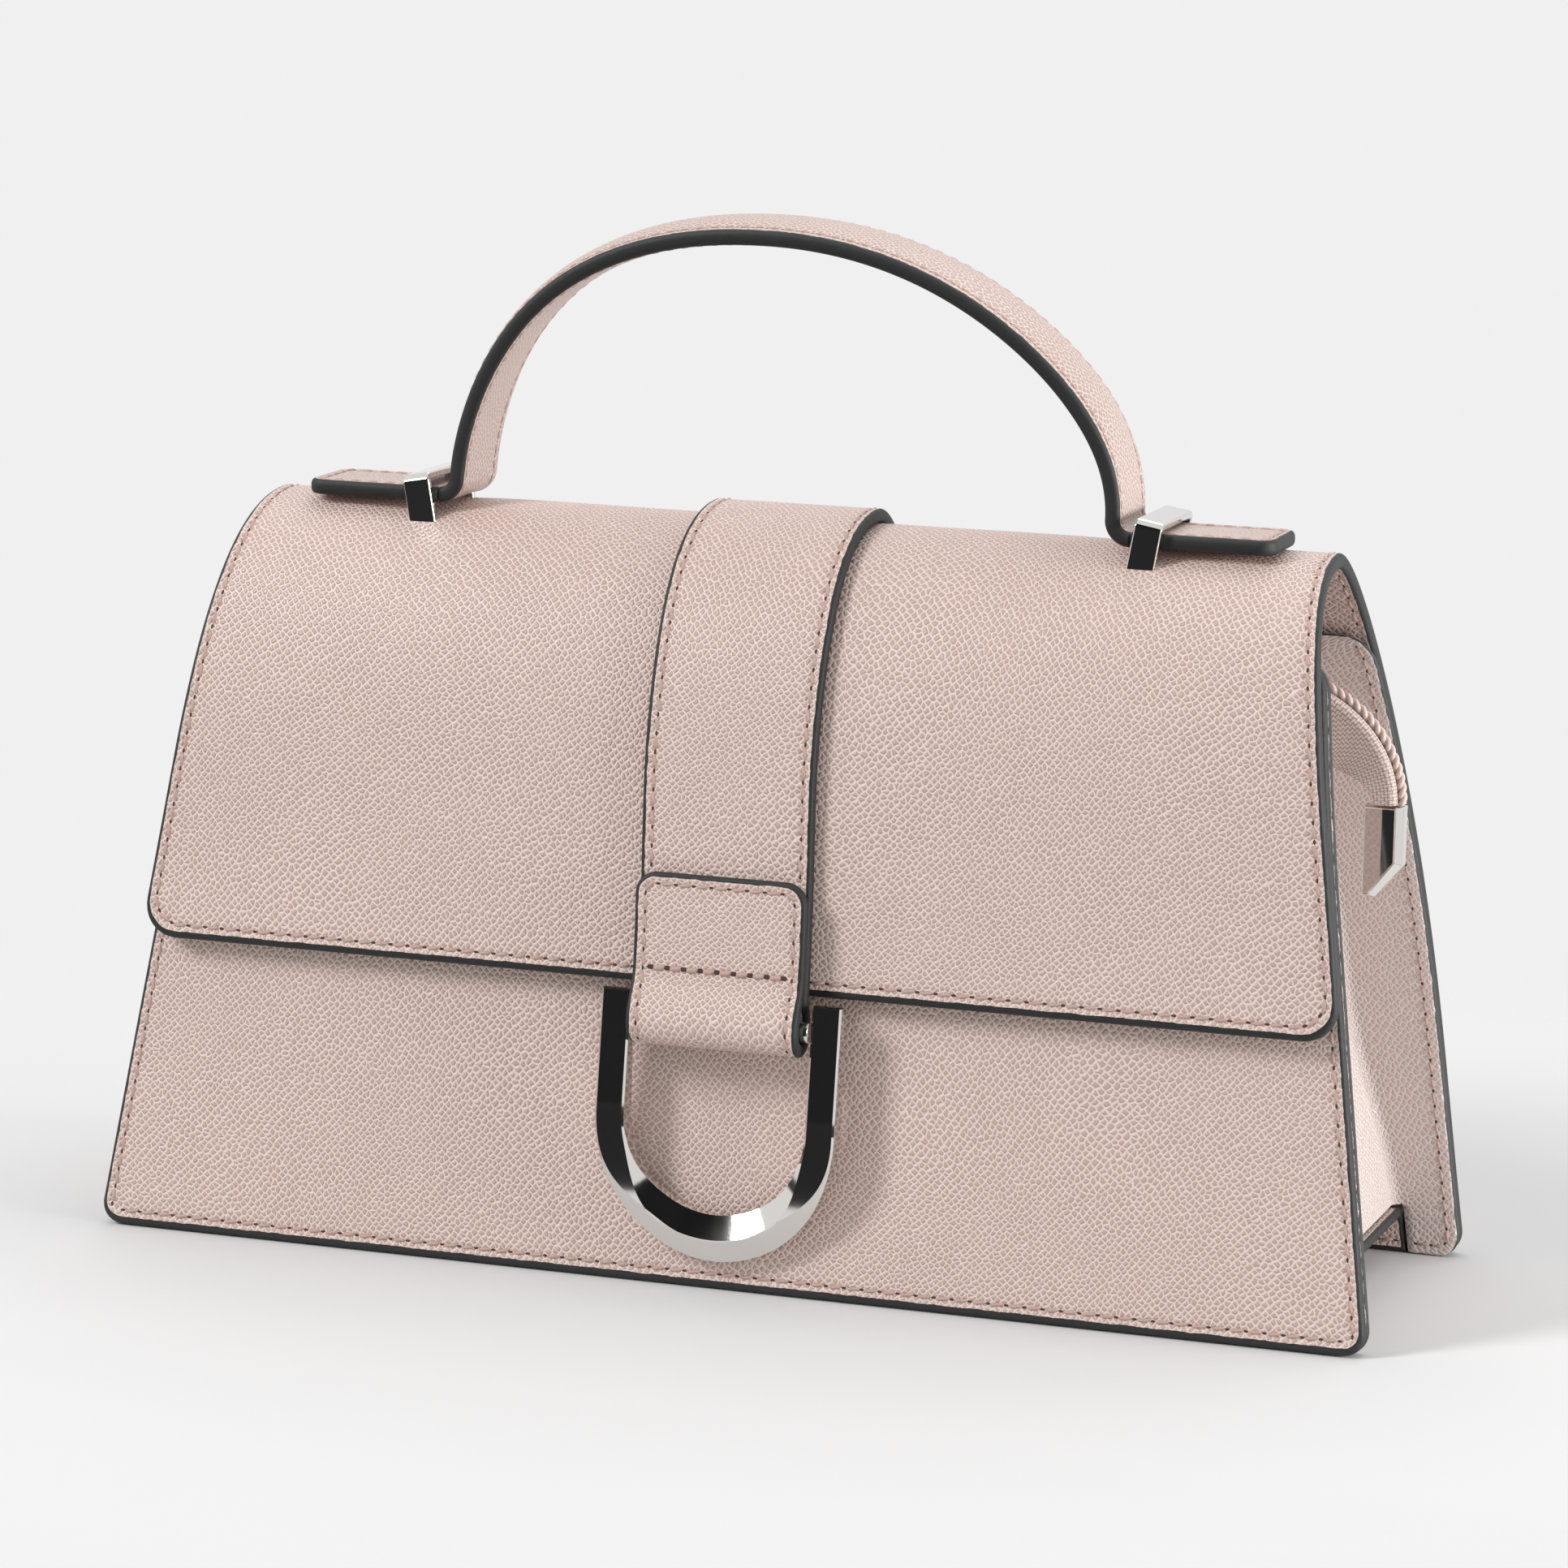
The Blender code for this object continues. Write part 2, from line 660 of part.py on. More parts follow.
def gusset_plan(z):
    """Plans of the right gusset's middle at each height: x, y and level normals out of the bag.

    A plan runs front flange, bend, wall, bend, back flange.
    """
    edge = side_line(z) - corner_inset(z, PANEL_CORNER_R)
    front = front_inner(z) + GAP + GUSSET_T / 2
    back = back_inner(z) - GAP - GUSSET_T / 2
    wall = wall_line(z)
    bend = np.radians(np.array([30, 60, 90]))
    share = np.linspace(0, 1, 9)[1:-1]
    tips = edge_steps(GUSSET_T)
    flange_x = np.concatenate((edge[:, None] - tips, (wall + GUSSET_BEND_R)[:, None]), axis=1)
    bend_x = (wall + GUSSET_BEND_R)[:, None] - GUSSET_BEND_R * np.sin(bend)
    bend_y = GUSSET_BEND_R * (1 - np.cos(bend))
    wall_x = wall[:, None] - fold_depth(z)[:, None] * np.sin(math.pi * share) ** FOLD_SHAPE_RATIO
    room = (back - front - 2 * GUSSET_BEND_R)[:, None]
    wall_y = (front + GUSSET_BEND_R)[:, None] + room * share
    x = np.concatenate((flange_x, bend_x, wall_x, bend_x[:, ::-1], flange_x[:, ::-1]), axis=1)
    flat = FLANGE_CELLS + 1
    y = np.concatenate((np.repeat(front[:, None], flat, axis=1), front[:, None] + bend_y, wall_y,
                        back[:, None] - bend_y[::-1], np.repeat(back[:, None], flat, axis=1)), axis=1)
    dx = np.gradient(x, axis=1)
    dy = np.gradient(y, axis=1)
    size = np.hypot(dx, dy)
    return x, y, np.stack([dy / size, -dx / size], -1), edge


def gusset_mesh(name, side):
    """A gusset: two flanges flush with the panels' edges, and a wall between them that folds in.

    Below the wall's foot only the flanges go on, to the floor.
    """
    top = RIM_Z - 2 * GAP
    upper = np.linspace(LINING_TOP_Z, top, 4)
    z = np.concatenate((corner_steps(PANEL_CORNER_R)[0], [WALL_FOOT_Z], wall_rows(), upper))
    z = np.unique(np.round(z, 7))
    x, y, plan_normal, edge = gusset_plan(z)
    # The wall's upper edge dips in a smooth curve between the bends
    columns = x.shape[1]
    dip_share = np.clip((np.arange(columns) - WALL_START) / (WALL_END - WALL_START), 0, 1)
    grip = smooth((z - LINING_TOP_Z) / (top - LINING_TOP_Z))
    height = z[:, None] - WALL_DIP * grip[:, None] * np.sin(math.pi * dip_share) ** DIP_SQUARENESS
    swell = GUSSET_T / 2 * edge_fraction(np.minimum(np.abs(x - edge[:, None]), GUSSET_T), GUSSET_T)
    middle = np.stack([side * x, y, height], -1)
    normal = np.stack([side * plan_normal[..., 0], plan_normal[..., 1], np.zeros_like(x)], -1)
    keep = np.ones((len(z) - 1, columns - 1), bool)
    below = z[1:] <= WALL_FOOT_Z + 1e-6
    keep[np.ix_(below, range(FLANGE_CELLS, columns - 1 - FLANGE_CELLS))] = False
    return sheet_mesh(name, middle, normal * swell[..., None], keep)


def make_gussets(root):
    for name, side in (("gusset_left", -1), ("gusset_right", 1)):
        add_piece(name, gusset_mesh(name, side), root, "leather")


def make_base(root):
    """A channel: a plate under the gussets' walls, its flanges turned down inside the panels."""
    inset = GAP + BASE_T / 2
    plate_z = WALL_FOOT_Z - GAP - BASE_T / 2
    front_foot = front_inner(0.0) + inset
    back_foot = back_inner(0.0) - inset
    front_top = front_inner(plate_z) + inset
    back_top = back_inner(plate_z) - inset
    r = BASE_BEND_R
    points = np.concatenate((
        straight((front_foot, 0.0), (front_top, plate_z - r), 12),
        arc((front_top + r, plate_z - r), r, 180, 90)[1:],
        straight((front_top + r, plate_z), (back_top - r, plate_z), 12)[1:],
        arc((back_top - r, plate_z - r), r, 90, 0)[1:],
        straight((back_top, plate_z - r), (back_foot, 0.0), 12)[1:],
    ))
    line = Line(points)
    run = line.stations(0.0, line.length)
    normal = line.normal(run)
    place = line.at(run)
    # Feet cut level
    feet = [0, -1]
    normal[feet] = np.array([1.0, 0.0]) / normal[feet, :1]
    half = side_line(np.maximum(place[:, 1], 0.0) + BASE_T / 2) - FLANGE_FOOT - GAP
    column = panel_columns(half, BASE_T)
    swell = BASE_T / 2 * edge_fraction(half[:, None] - np.abs(column), BASE_T)
    middle = in_yz(place[:, None, 0], place[:, None, 1], column)
    offset = np.zeros_like(middle)
    offset[..., 1] = normal[:, None, 0] * swell
    offset[..., 2] = normal[:, None, 1] * swell
    add_piece("base_panel", sheet_mesh("base_panel", middle, offset), root, "leather")

    low = WALL_FOOT_Z
    high = low + BOARD_T
    half_x = float(wall_line(low)) - GUSSET_T / 2 - BOARD_MARGIN
    y0 = float(front_inner(low)) + GAP + BOARD_MARGIN
    y1 = float(back_inner(low)) - GAP - BOARD_MARGIN
    r = PANEL_CORNER_R
    outline = np.concatenate((
        arc((half_x - r, y1 - r), r, 0, 90, 5), arc((-half_x + r, y1 - r), r, 90, 180, 5),
        arc((-half_x + r, y0 + r), r, 180, 270, 5), arc((half_x - r, y0 + r), r, 270, 360, 5)))
    board = prism_mesh("base_board", outline, lambda x, y, z: (x, y, z), low, high)
    add_piece("base_board", board, root, "board")


def make_facings(root):
    """Leather facings inside the mouth, between the gussets' flanges."""
    foot = RIM_Z - FACING_HEIGHT
    top = RIM_Z - 2 * GAP

    def half_width(z):
        return wall_line(z) - GUSSET_T / 2 - GAP

    def front(z):
        return front_inner(z) + GAP

    def back(z):
        return back_inner(z) - GAP

    for name, face, thickness in (("front_facing", front, FACING_T), ("back_facing", back, -FACING_T)):
        add_piece(name, panel_mesh(name, face, thickness, foot, top, half_width), root, "leather")


def lining_ring(z, inward):
    """Plan of the lining bag at a height, drawn in by inward from the pieces round it."""
    x, y, normal, _ = gusset_plan(np.array([z]))
    wall = slice(WALL_START, WALL_END + 1)
    inset = GUSSET_T / 2 + LINING_SLACK + inward
    x = x[0, wall] - normal[0, wall, 0] * inset
    y = y[0, wall] - normal[0, wall, 1] * inset
    # The front clears the snap's washer
    front = float(front_inner(z)) + 2 * GAP + float(level_thickness(front_inner, z, WASHER_T)) + inward
    back = float(back_inner(z)) - GAP - inward
    x = np.concatenate((x[:1], x, x[-1:]))
    y = np.concatenate(([front], y, [back]))
    right = np.stack([x, y, np.full(len(x), z)], -1)
    return np.concatenate((right, right[::-1] * np.array([-1.0, 1.0, 1.0])))


def make_lining(root):
    outer = wall_rows()
    inner = np.concatenate((outer[:0:-1], [LINING_FLOOR_Z + LINING_T]))
    rings = [lining_ring(z, 0.0) for z in outer] + [lining_ring(z, LINING_T) for z in inner]
    add_piece("lining", loft_mesh("lining", rings), root, "textile")


def make_flap(hinge):
    """Outer leather and lining of the flap, from the hinge at the back rim to the lip."""
    start = back_run(RIM_Z) + GAP / 2
    end = SHELL.length
    outer_core = SHELL.offset(FLAP_OUTER_T / 2)
    lining_core = SHELL.offset(FLAP_T - FLAP_LINING_T / 2)

    def along(line, run):
        return float(np.interp(run, SHELL.run, line.run))

    def half_on(line):
        return lambda run: side_line(line.at(run)[..., 1])

    pieces = []
    for name, line, thickness, finish in (("flap", outer_core, FLAP_OUTER_T, "leather"),
                                          ("flap_lining", lining_core, FLAP_LINING_T, "leather_lining")):
        mesh = ribbon_mesh(name, line, along(line, start), along(line, end), 0.0, in_yz, half_on(line),
                           thickness, round_end=True, corner_end=LIP_CORNER_R, inner_columns=1)
        pieces.append(add_piece(name, mesh, hinge, finish))
    return pieces


STRAP_OFFSET = GAP + STRAP_T / 2             # the strap's middle above the flap's outer face
TAB_OFFSET = STRAP_OFFSET + STRAP_T + GAP    # and the folded tab's middle
LOOP_R = BAR_R + GAP + STRAP_T / 2
LEAN_COS = 1 / math.hypot(1, FRONT_LEAN)
FRONT_OUT = np.array([-LEAN_COS, FRONT_LEAN * LEAN_COS])      # out of the flap's straight front, (y, z)
FRONT_DOWN = np.array([-FRONT_LEAN * LEAN_COS, -LEAN_COS])    # down along it


def bar_centre():
    """Centre of the ring's bar, between the strap and its tab, below the flap's lip."""
    z = LIP_Z - BAR_DROP
    face = np.array([flap_front(z), z])
    return face + FRONT_OUT * (STRAP_OFFSET + TAB_OFFSET) / 2


BAR_Y, BAR_Z = (float(v) for v in bar_centre())


def strap_line():
    """Middle of the strap: over the ridge, down the front, round the bar and up into the tab."""
    start = back_run(RIM_Z) + STRAP_END_RUN
    centre = np.array([BAR_Y, BAR_Z])
    half_gap = (TAB_OFFSET - STRAP_OFFSET) / 2
    above = SHELL.offset(-STRAP_OFFSET)
    first = float(np.interp(start, SHELL.run, above.run))
    shoulder = float(np.interp(front_run(SHOULDER_Z), SHELL.run, above.run))
    over = above.at(np.linspace(first, shoulder, 240))
    top = (SHOULDER_Z - BAR_Z) / LEAN_COS
    down = np.linspace(top, 0, 120)[1:]
    spread = half_gap + (LOOP_R - half_gap) * smooth(1 - down / LOOP_FREE)
    back = centre - FRONT_DOWN * down[:, None] - FRONT_OUT * spread[:, None]
    turn = np.linspace(0, math.pi, 40)[1:-1, None]
    loop = centre - FRONT_OUT * LOOP_R * np.cos(turn) + FRONT_DOWN * LOOP_R * np.sin(turn)
    rise = np.linspace(0, (TAB_TOP_Z - BAR_Z) / LEAN_COS, 80)
    spread = half_gap + (LOOP_R - half_gap) * smooth(1 - rise / TAB_FREE)
    front = centre - FRONT_DOWN * rise[:, None] + FRONT_OUT * spread[:, None]
    return Line(np.concatenate((over, back, loop, front)))


def make_strap(hinge):
    line = strap_line()
    mesh = ribbon_mesh("centre_strap", line, 0.0, line.length, 0.0, in_yz,
                       lambda run: np.full(np.shape(run), STRAP_W / 2), STRAP_T,
                       round_start=True, round_end=True, corner_start=STRAP_CORNER_R, corner_end=STRAP_CORNER_R)
    add_piece("centre_strap", mesh, hinge, "leather")


def ring_rest_lean():
    """Angle at which the hanging ring's foot rests against the front panel."""
    low = STRAP_W / 2 + RING_SIDE_PLAY + RING_STRAIGHT + RING_FOOT_W
    lean = 0.0
    for _ in range(20):
        foot_z = BAR_Z - low * math.cos(lean)
        back_y = float(front_face(foot_z)) - RING_REST_GAP - RING_DEPTH / 2 / math.cos(lean)
        lean = math.asin((BAR_Y - back_y) / low)
    return lean


def ring_section(width, chamfer):
    """Section of the ring's band as (outward, depth): flat back, faceted front."""
    w, d = width / 2, RING_DEPTH / 2
    front, back, ease = -d * RING_BEVEL_RATIO, d * RING_BACK_RATIO, d * RING_EASE_RATIO
    return np.array([(-w, back), (-w, front), (-w + chamfer, -d), (w - chamfer, -d),
                     (w, front), (w, back), (w - ease, d), (-w + ease, d)])


def make_ring(swing):
    """A horseshoe: straight legs, a half-round bow, the band swelling to the bottom of the bow."""
    inner = STRAP_W / 2 + RING_SIDE_PLAY
    lean = ring_rest_lean()
    stations = [(math.pi, RING_EAR), (math.pi, 0.0), (math.pi, -RING_STRAIGHT / 2)]
    stations += [(math.pi + t, -RING_STRAIGHT) for t in np.linspace(0, math.pi, 17)]
    stations += [(2 * math.pi, -RING_STRAIGHT / 2), (2 * math.pi, 0.0), (2 * math.pi, RING_EAR)]
    rings = []
    for turn, level in stations:
        swell = math.sin(turn) ** 2
        width = RING_LEG_W + (RING_FOOT_W - RING_LEG_W) * swell
        chamfer = RING_LEG_BEVEL + (RING_FOOT_BEVEL - RING_LEG_BEVEL) * swell
        out = np.array([math.cos(turn), math.sin(turn)])
        ring = []
        for outward, depth in ring_section(width, chamfer):
            x, up = out * (inner + width / 2 + outward) + np.array([0.0, level])
            y = BAR_Y + depth * math.cos(lean) + up * math.sin(lean)
            z = BAR_Z + up * math.cos(lean) - depth * math.sin(lean)
            ring.append((x, y, z))
        rings.append(ring)
    add_piece("horseshoe_ring", loft_mesh("horseshoe_ring", rings), swing, "nickel", math.radians(20))

    half = inner - GAP
    bar = turned_mesh("ring_bar", ((BAR_R, -half), (BAR_R, half)), (0.0, BAR_Y, BAR_Z), (1, 0, 0), 20)
    add_piece("ring_bar", bar, swing, "nickel")


HANDLE_LINE_Z = RIDGE_Z + GAP + HANDLE_T / 2       # middle of the strap where it lies on the ridge


def handle_line():
    """Middle of the arch in the front view, from the right keeper to the left one."""
    base = HANDLE_LINE_Z + HANDLE_BEND_R
    rise = HANDLE_TOP_Z - HANDLE_T / 2 - base
    power = 2 / HANDLE_ROUNDNESS
    turn = np.linspace(0, math.pi, 400)[1:-1]
    x = HANDLE_HALF_SPAN * np.sign(np.cos(turn)) * np.abs(np.cos(turn)) ** power
    share = np.sin(turn) ** power
    x = x + HANDLE_SWAY * np.sin(math.pi * share) - HANDLE_LEAN * share ** 3
    arch = np.stack([x, base + rise * share], -1)
    right = arc((HANDLE_JOINT_X, base), HANDLE_BEND_R, 270, 180, 24)
    left = arc((-HANDLE_JOINT_X, base), HANDLE_BEND_R, 0, -90, 24)
    return Line(np.concatenate((right, arch, left)))


def make_handle(tilt, hinge):
    line = handle_line()
    arch = ribbon_mesh("handle", line, 0.0, line.length, HANDLE_Y, in_xz,
                       lambda run: np.full(np.shape(run), HANDLE_W / 2), HANDLE_T)
    add_piece("handle", arch, tilt, "leather")
    for name, side in (("handle_end_left", -1), ("handle_end_right", 1)):
        start = (side * (HANDLE_JOINT_X + GAP), HANDLE_LINE_Z)
        flat = Line(straight(start, (side * HANDLE_END_REACH, HANDLE_LINE_Z), 8))
        end = ribbon_mesh(name, flat, 0.0, flat.length, HANDLE_Y, in_xz,
                          lambda run: np.full(np.shape(run), HANDLE_W / 2), HANDLE_T,
                          round_end=True, corner_end=HANDLE_END_CORNER_R)
        add_piece(name, end, hinge, "leather")


def keeper_outline(clearance=0.0):
    """A bridge over the strap as (y, z) about the strap's middle; its legs go through the flap."""
    inner_y = HANDLE_W / 2 + GAP
    inner_z = HANDLE_T / 2 + GAP + KEEPER_ROOM
    outer_y = inner_y + KEEPER_T
    outer_z = inner_z + KEEPER_T
    c = KEEPER_CHAMFER

    def foot(y):
        return plate_under(HANDLE_Y + y) - HANDLE_LINE_Z

    return ((-outer_y, foot(-outer_y)), (-outer_y, outer_z - c), (-outer_y + c, outer_z),
            (outer_y - c, outer_z), (outer_y, outer_z - c), (outer_y, foot(outer_y)),
            (inner_y, foot(inner_y)), (inner_y, inner_z), (-inner_y, inner_z), (-inner_y, foot(-inner_y)))


def plate_under(y):
    """Height of the backing plate's underside below the ridge."""
    line = SHELL.offset(FLAP_T + GAP + PLATE_T)
    near = line.points[:, 1] > SHOULDER_Z
    points = line.points[near]
    order = np.argsort(points[:, 0])
    return float(np.interp(y, points[order, 0], points[order, 1]))


def keeper_frame(side):
    """Places a keeper's own (y, z) and depth along the width, leaning outwards at the top."""
    def place(y, z, depth):
        lean = side * KEEPER_LEAN
        x = depth * math.cos(lean) + z * math.sin(lean)
        return (side * KEEPER_X + x, HANDLE_Y + y, HANDLE_LINE_Z + z * math.cos(lean) - depth * math.sin(lean))
    return place


def make_keepers(hinge, layers):
    """Metal bridges that hold the handle's ends, their legs let through the flap into plates."""
    inner_y = HANDLE_W / 2 + GAP
    for side_name, side in (("left", -1), ("right", 1)):
        place = keeper_frame(side)
        half = KEEPER_W / 2
        keeper = prism_mesh("keeper_" + side_name, keeper_outline(), place, -half, half)
        add_piece("keeper_" + side_name, keeper, hinge, "nickel", math.radians(20))

        line = SHELL.offset(FLAP_T + GAP + PLATE_T / 2)
        front_y = HANDLE_Y - inner_y - KEEPER_T - PLATE_MARGIN
        back_y = HANDLE_Y + inner_y + KEEPER_T + PLATE_MARGIN
        over = line.points[:, 1] > SHOULDER_Z
        y = line.points[over, 0]
        run = line.run[over]
        start = float(np.interp(-back_y, -y, run))
        end = float(np.interp(-front_y, -y, run))
        # The leaning legs meet the plate a little inboard of the keeper
        centre = side * (KEEPER_X - (HANDLE_T + FLAP_T) * math.sin(KEEPER_LEAN))
        plate = ribbon_mesh("keeper_plate_" + side_name, line, start, end, centre, in_yz,
                            lambda r: np.full(np.shape(r), KEEPER_W / 2 + PLATE_MARGIN), PLATE_T)
        plate_piece = add_piece("keeper_plate_" + side_name, plate, hinge, "nickel")

        wide = half + GAP
        low = -SLIT_DEPTH
        high = -HANDLE_T / 2
        for end_name, sign in (("front", -1), ("back", 1)):
            a = sign * (inner_y - GAP)
            b = sign * (inner_y + KEEPER_T + GAP)
            box = ((a, low), (b, low), (b, high), (a, high))
            cutter = add_piece("slit_" + side_name + "_" + end_name,
                               prism_mesh("slit", box, place, -wide, wide), hinge)
            as_guide(cutter)
            for layer in layers:
                cut(layer, cutter)
            cut(plate_piece, cutter)


def make_snap(root, hinge):
    """Magnetic snap behind the strap's tab: socket and washer on the panel, stud on the flap."""
    face = np.array([float(front_face(SNAP_Z)), SNAP_Z])
    axis = (0.0, float(FRONT_OUT[0]), float(FRONT_OUT[1]))

    def on_panel(distance):
        point = face + FRONT_OUT * distance
        return (0.0, float(point[0]), float(point[1]))

    socket = ((SNAP_HOLE_R, 0.0), (SNAP_R, 0.0), (SNAP_R, SNAP_T - SNAP_BEVEL), (SNAP_R - SNAP_BEVEL, SNAP_T),
              (SNAP_HOLE_R, SNAP_T))
    rings = turned_ring(socket, on_panel(GAP), axis)
    add_piece("snap_socket", loft_mesh("snap_socket", rings, closed=True), root, "nickel")
    washer = turned_mesh("snap_washer", ((WASHER_R, 0.0), (WASHER_R, WASHER_T)),
                         on_panel(-PANEL_T - GAP - WASHER_T), axis)
    add_piece("snap_washer", washer, root, "nickel")
    room = SNAP_ROOM * LEAN_COS
    stud = ((SNAP_R, 0.0), (SNAP_R, -SNAP_T), (SNAP_NOSE_R + SNAP_NOSE_H, -SNAP_T),
            (SNAP_NOSE_R, -SNAP_T - SNAP_NOSE_H))
    add_piece("snap_stud", turned_mesh("snap_stud", stud, on_panel(room - GAP), axis), hinge, "nickel")


def turned_ring(profile, centre, axis, sides=24):
    """Rings of a closed profile turned about an axis, one ring for each spoke."""
    axis = Vector(axis).normalized()
    across = axis.orthogonal().normalized()
    along = axis.cross(across)
    rings = []
    for k in range(sides):
        turn = 2 * math.pi * k / sides
        spoke = across * math.cos(turn) + along * math.sin(turn)
        rings.append([Vector(centre) + spoke * radius + axis * height for radius, height in profile])
    return rings


def zip_edges():
    """The zip's two sewn edges and its middle, in y."""
    front = float(front_inner(ZIP_Z) + GAP + level_thickness(front_inner, ZIP_Z, FACING_T)) + GAP
    back = float(back_inner(ZIP_Z) - GAP - level_thickness(back_inner, ZIP_Z, FACING_T)) - GAP
    return front, back, (front + back) / 2


ZIP_FRONT, ZIP_BACK, ZIP_MIDDLE = zip_edges()
ZIP_HALF_LENGTH = float(wall_line(RIM_Z)) - FOLD_DEPTH - ZIP_END_ROOM
TAPE_TOP = ZIP_Z + TAPE_T / 2
HINGE_INSET = 0.0005         # the tapes bend this far from their sewn edges


def level_plate(x, y, z):
    return (x, y, z)


def coil_outline(inner, outer):
    """Section of one coil as (y, z) above the tape, with its crest rounded."""
    low = TAPE_TOP + GAP
    high = low + COIL_H
    ease = COIL_EASE
    sign = 1 if outer > inner else -1
    return ((inner, low), (outer, low), (outer, high - ease), (outer - sign * ease, high),
            (inner + sign * ease, high), (inner, high - ease))


def make_zip_halves(front_swing, back_swing):
    for name, swing, edge, sign in (("front", front_swing, ZIP_FRONT, -1), ("back", back_swing, ZIP_BACK, 1)):
        inner = ZIP_MIDDLE + sign * ZIP_SLOT / 2
        low, high = sorted((inner, edge))
        x = ZIP_HALF_LENGTH
        outline = ((-x, low), (x, low), (x, high), (-x, high))
        tape = prism_mesh("zip_tape_" + name, outline, level_plate, ZIP_Z - TAPE_T / 2, TAPE_TOP)
        add_piece("zip_tape_" + name, tape, swing, "zip_tape")
        coil = prism_mesh("zip_coil_" + name, coil_outline(inner, inner + sign * COIL_W),
                          lambda y, z, depth: (depth, y, z), -x, x)
        add_piece("zip_coil_" + name, coil, swing, "zip_coil")


def zip_end_pieces(name, side, parent, finish="zip_tape"):
    """The closed end of the zip: both tapes joined by a stop, with the slot open to the zip."""
    start = side * (ZIP_HALF_LENGTH + GAP)
    end = side * (ZIP_HALF_LENGTH + GAP + ZIP_END_LENGTH)
    stop = end - side * STOP_LENGTH
    y0, y1, m, h = ZIP_FRONT, ZIP_BACK, ZIP_MIDDLE, ZIP_SLOT / 2
    outline = ((start, y0), (end, y0), (end, y1), (start, y1), (start, m + h), (stop, m + h), (stop, m - h),
               (start, m - h))
    tape = add_piece(name, prism_mesh(name, outline, level_plate, ZIP_Z - TAPE_T / 2, TAPE_TOP), parent, finish)
    w = h + COIL_W
    last = end - side * GAP
    coil = ((start, m - w), (last, m - w), (last, m + w), (start, m + w), (start, m + h),
            (stop, m + h), (stop, m - h), (start, m - h))
    ridge = prism_mesh(name + "_coil", coil, level_plate, ZIP_Z, TAPE_TOP + GAP + COIL_H)
    join(tape, add_piece(name + "_coil", ridge, parent))
    return tape


def tail_stations():
    """Crest of the tail as (x, z), its heading, the droop of its tapes and their width."""
    start_x = ZIP_HALF_LENGTH + ZIP_END_LENGTH - STOP_LENGTH
    flat = TAIL_LEVEL
    share = np.linspace(0, 1, 13)
    turn = share * math.pi / 2
    x = start_x + flat + (TAIL_RUN - flat) * np.sin(turn)
    z = ZIP_Z + TAPE_T / 2 - TAIL_DROP * (1 - np.cos(turn))
    heading = np.arctan2(-TAIL_DROP * np.sin(turn), (TAIL_RUN - flat) * np.cos(turn))
    x = np.concatenate(([start_x, start_x + flat / 2], x))
    z = np.concatenate(([z[0], z[0]], z))
    heading = np.concatenate(([0.0, 0.0], heading))
    way = np.concatenate(([0.0], np.cumsum(np.hypot(np.diff(x), np.diff(z)))))
    level = flat / way[-1]
    way = way / way[-1]
    droop = np.radians(TAIL_FOLD_ANGLE * smooth((way - level) / TAIL_FOLD_RATIO))
    width = TAIL_NECK_W + (TAIL_TAPE_W - TAIL_NECK_W) * smooth((way - level) / TAIL_WIDEN_RATIO)
    width = width + (TAIL_TIP_W - TAIL_TAPE_W) * smooth((way - 1) / TAIL_NARROW_RATIO + 1)
    return x, z, heading, droop, width


def make_zip_tail(root):
    """The zip's tail: both tapes fold down under the coil and curve out over the gusset."""
    tail = zip_end_pieces("zip_tail", 1, root)
    t = TAPE_T
    foot = TAIL_ROOT_HALF
    shoulder, height = foot * TAIL_CREST_RATIOS[0], COIL_H * TAIL_CREST_RATIOS[1]
    crest = [(foot, 0.0), (shoulder, height), (0.0, COIL_H), (-shoulder, height), (-foot, 0.0)]
    rings = []
    for x, z, heading, droop, width in zip(*tail_stations()):
        along_x, along_z = math.cos(heading), math.sin(heading)
        up = np.array([-along_z, along_x])
        c, s = math.cos(droop), math.sin(droop)
        lap = t * math.tan(droop / 2)
        reach = foot + width * c
        tape = [(foot - t * s + lap * c, -t * c - lap * s), (reach - t * s, -width * s - t * c),
                (reach, -width * s)]
        section = tape + crest + [(-a, b) for a, b in tape[::-1]]
        rings.append([(x + up[0] * b, ZIP_MIDDLE + a, z + up[1] * b) for a, b in section])
    join(tail, add_piece("zip_tail_fold", loft_mesh("zip_tail_fold", rings), root))

    x, z = (float(v[-1]) for v in tail_stations()[:2])
    right = x + COIL_H + (CAP_W - COIL_H - TAIL_TIP_W - t) / 2
    left = right - CAP_W
    top = z - GAP
    low = top - CAP_H
    outline = ((left, top), (right, top), (right, low + CAP_CHAMFER_H), (right - CAP_CHAMFER_W, low),
               (left + CAP_RECESS, low))
    cap = prism_mesh("zip_end_cap", outline, in_front_view, ZIP_MIDDLE - CAP_T / 2, ZIP_MIDDLE + CAP_T / 2)
    build = bmesh.new()
    build.from_mesh(cap)
    build.normal_update()
    faces = [f for f in build.faces if abs(f.normal.y) > 0.9]
    bmesh.ops.inset_individual(build, faces=faces, thickness=CAP_FRAME, depth=-CAP_RECESS)
    build.to_mesh(cap)
    build.free()
    add_piece("zip_end_cap", cap, root, "nickel", math.radians(20))


def in_front_view(x, z, depth):
    return (x, depth, z)


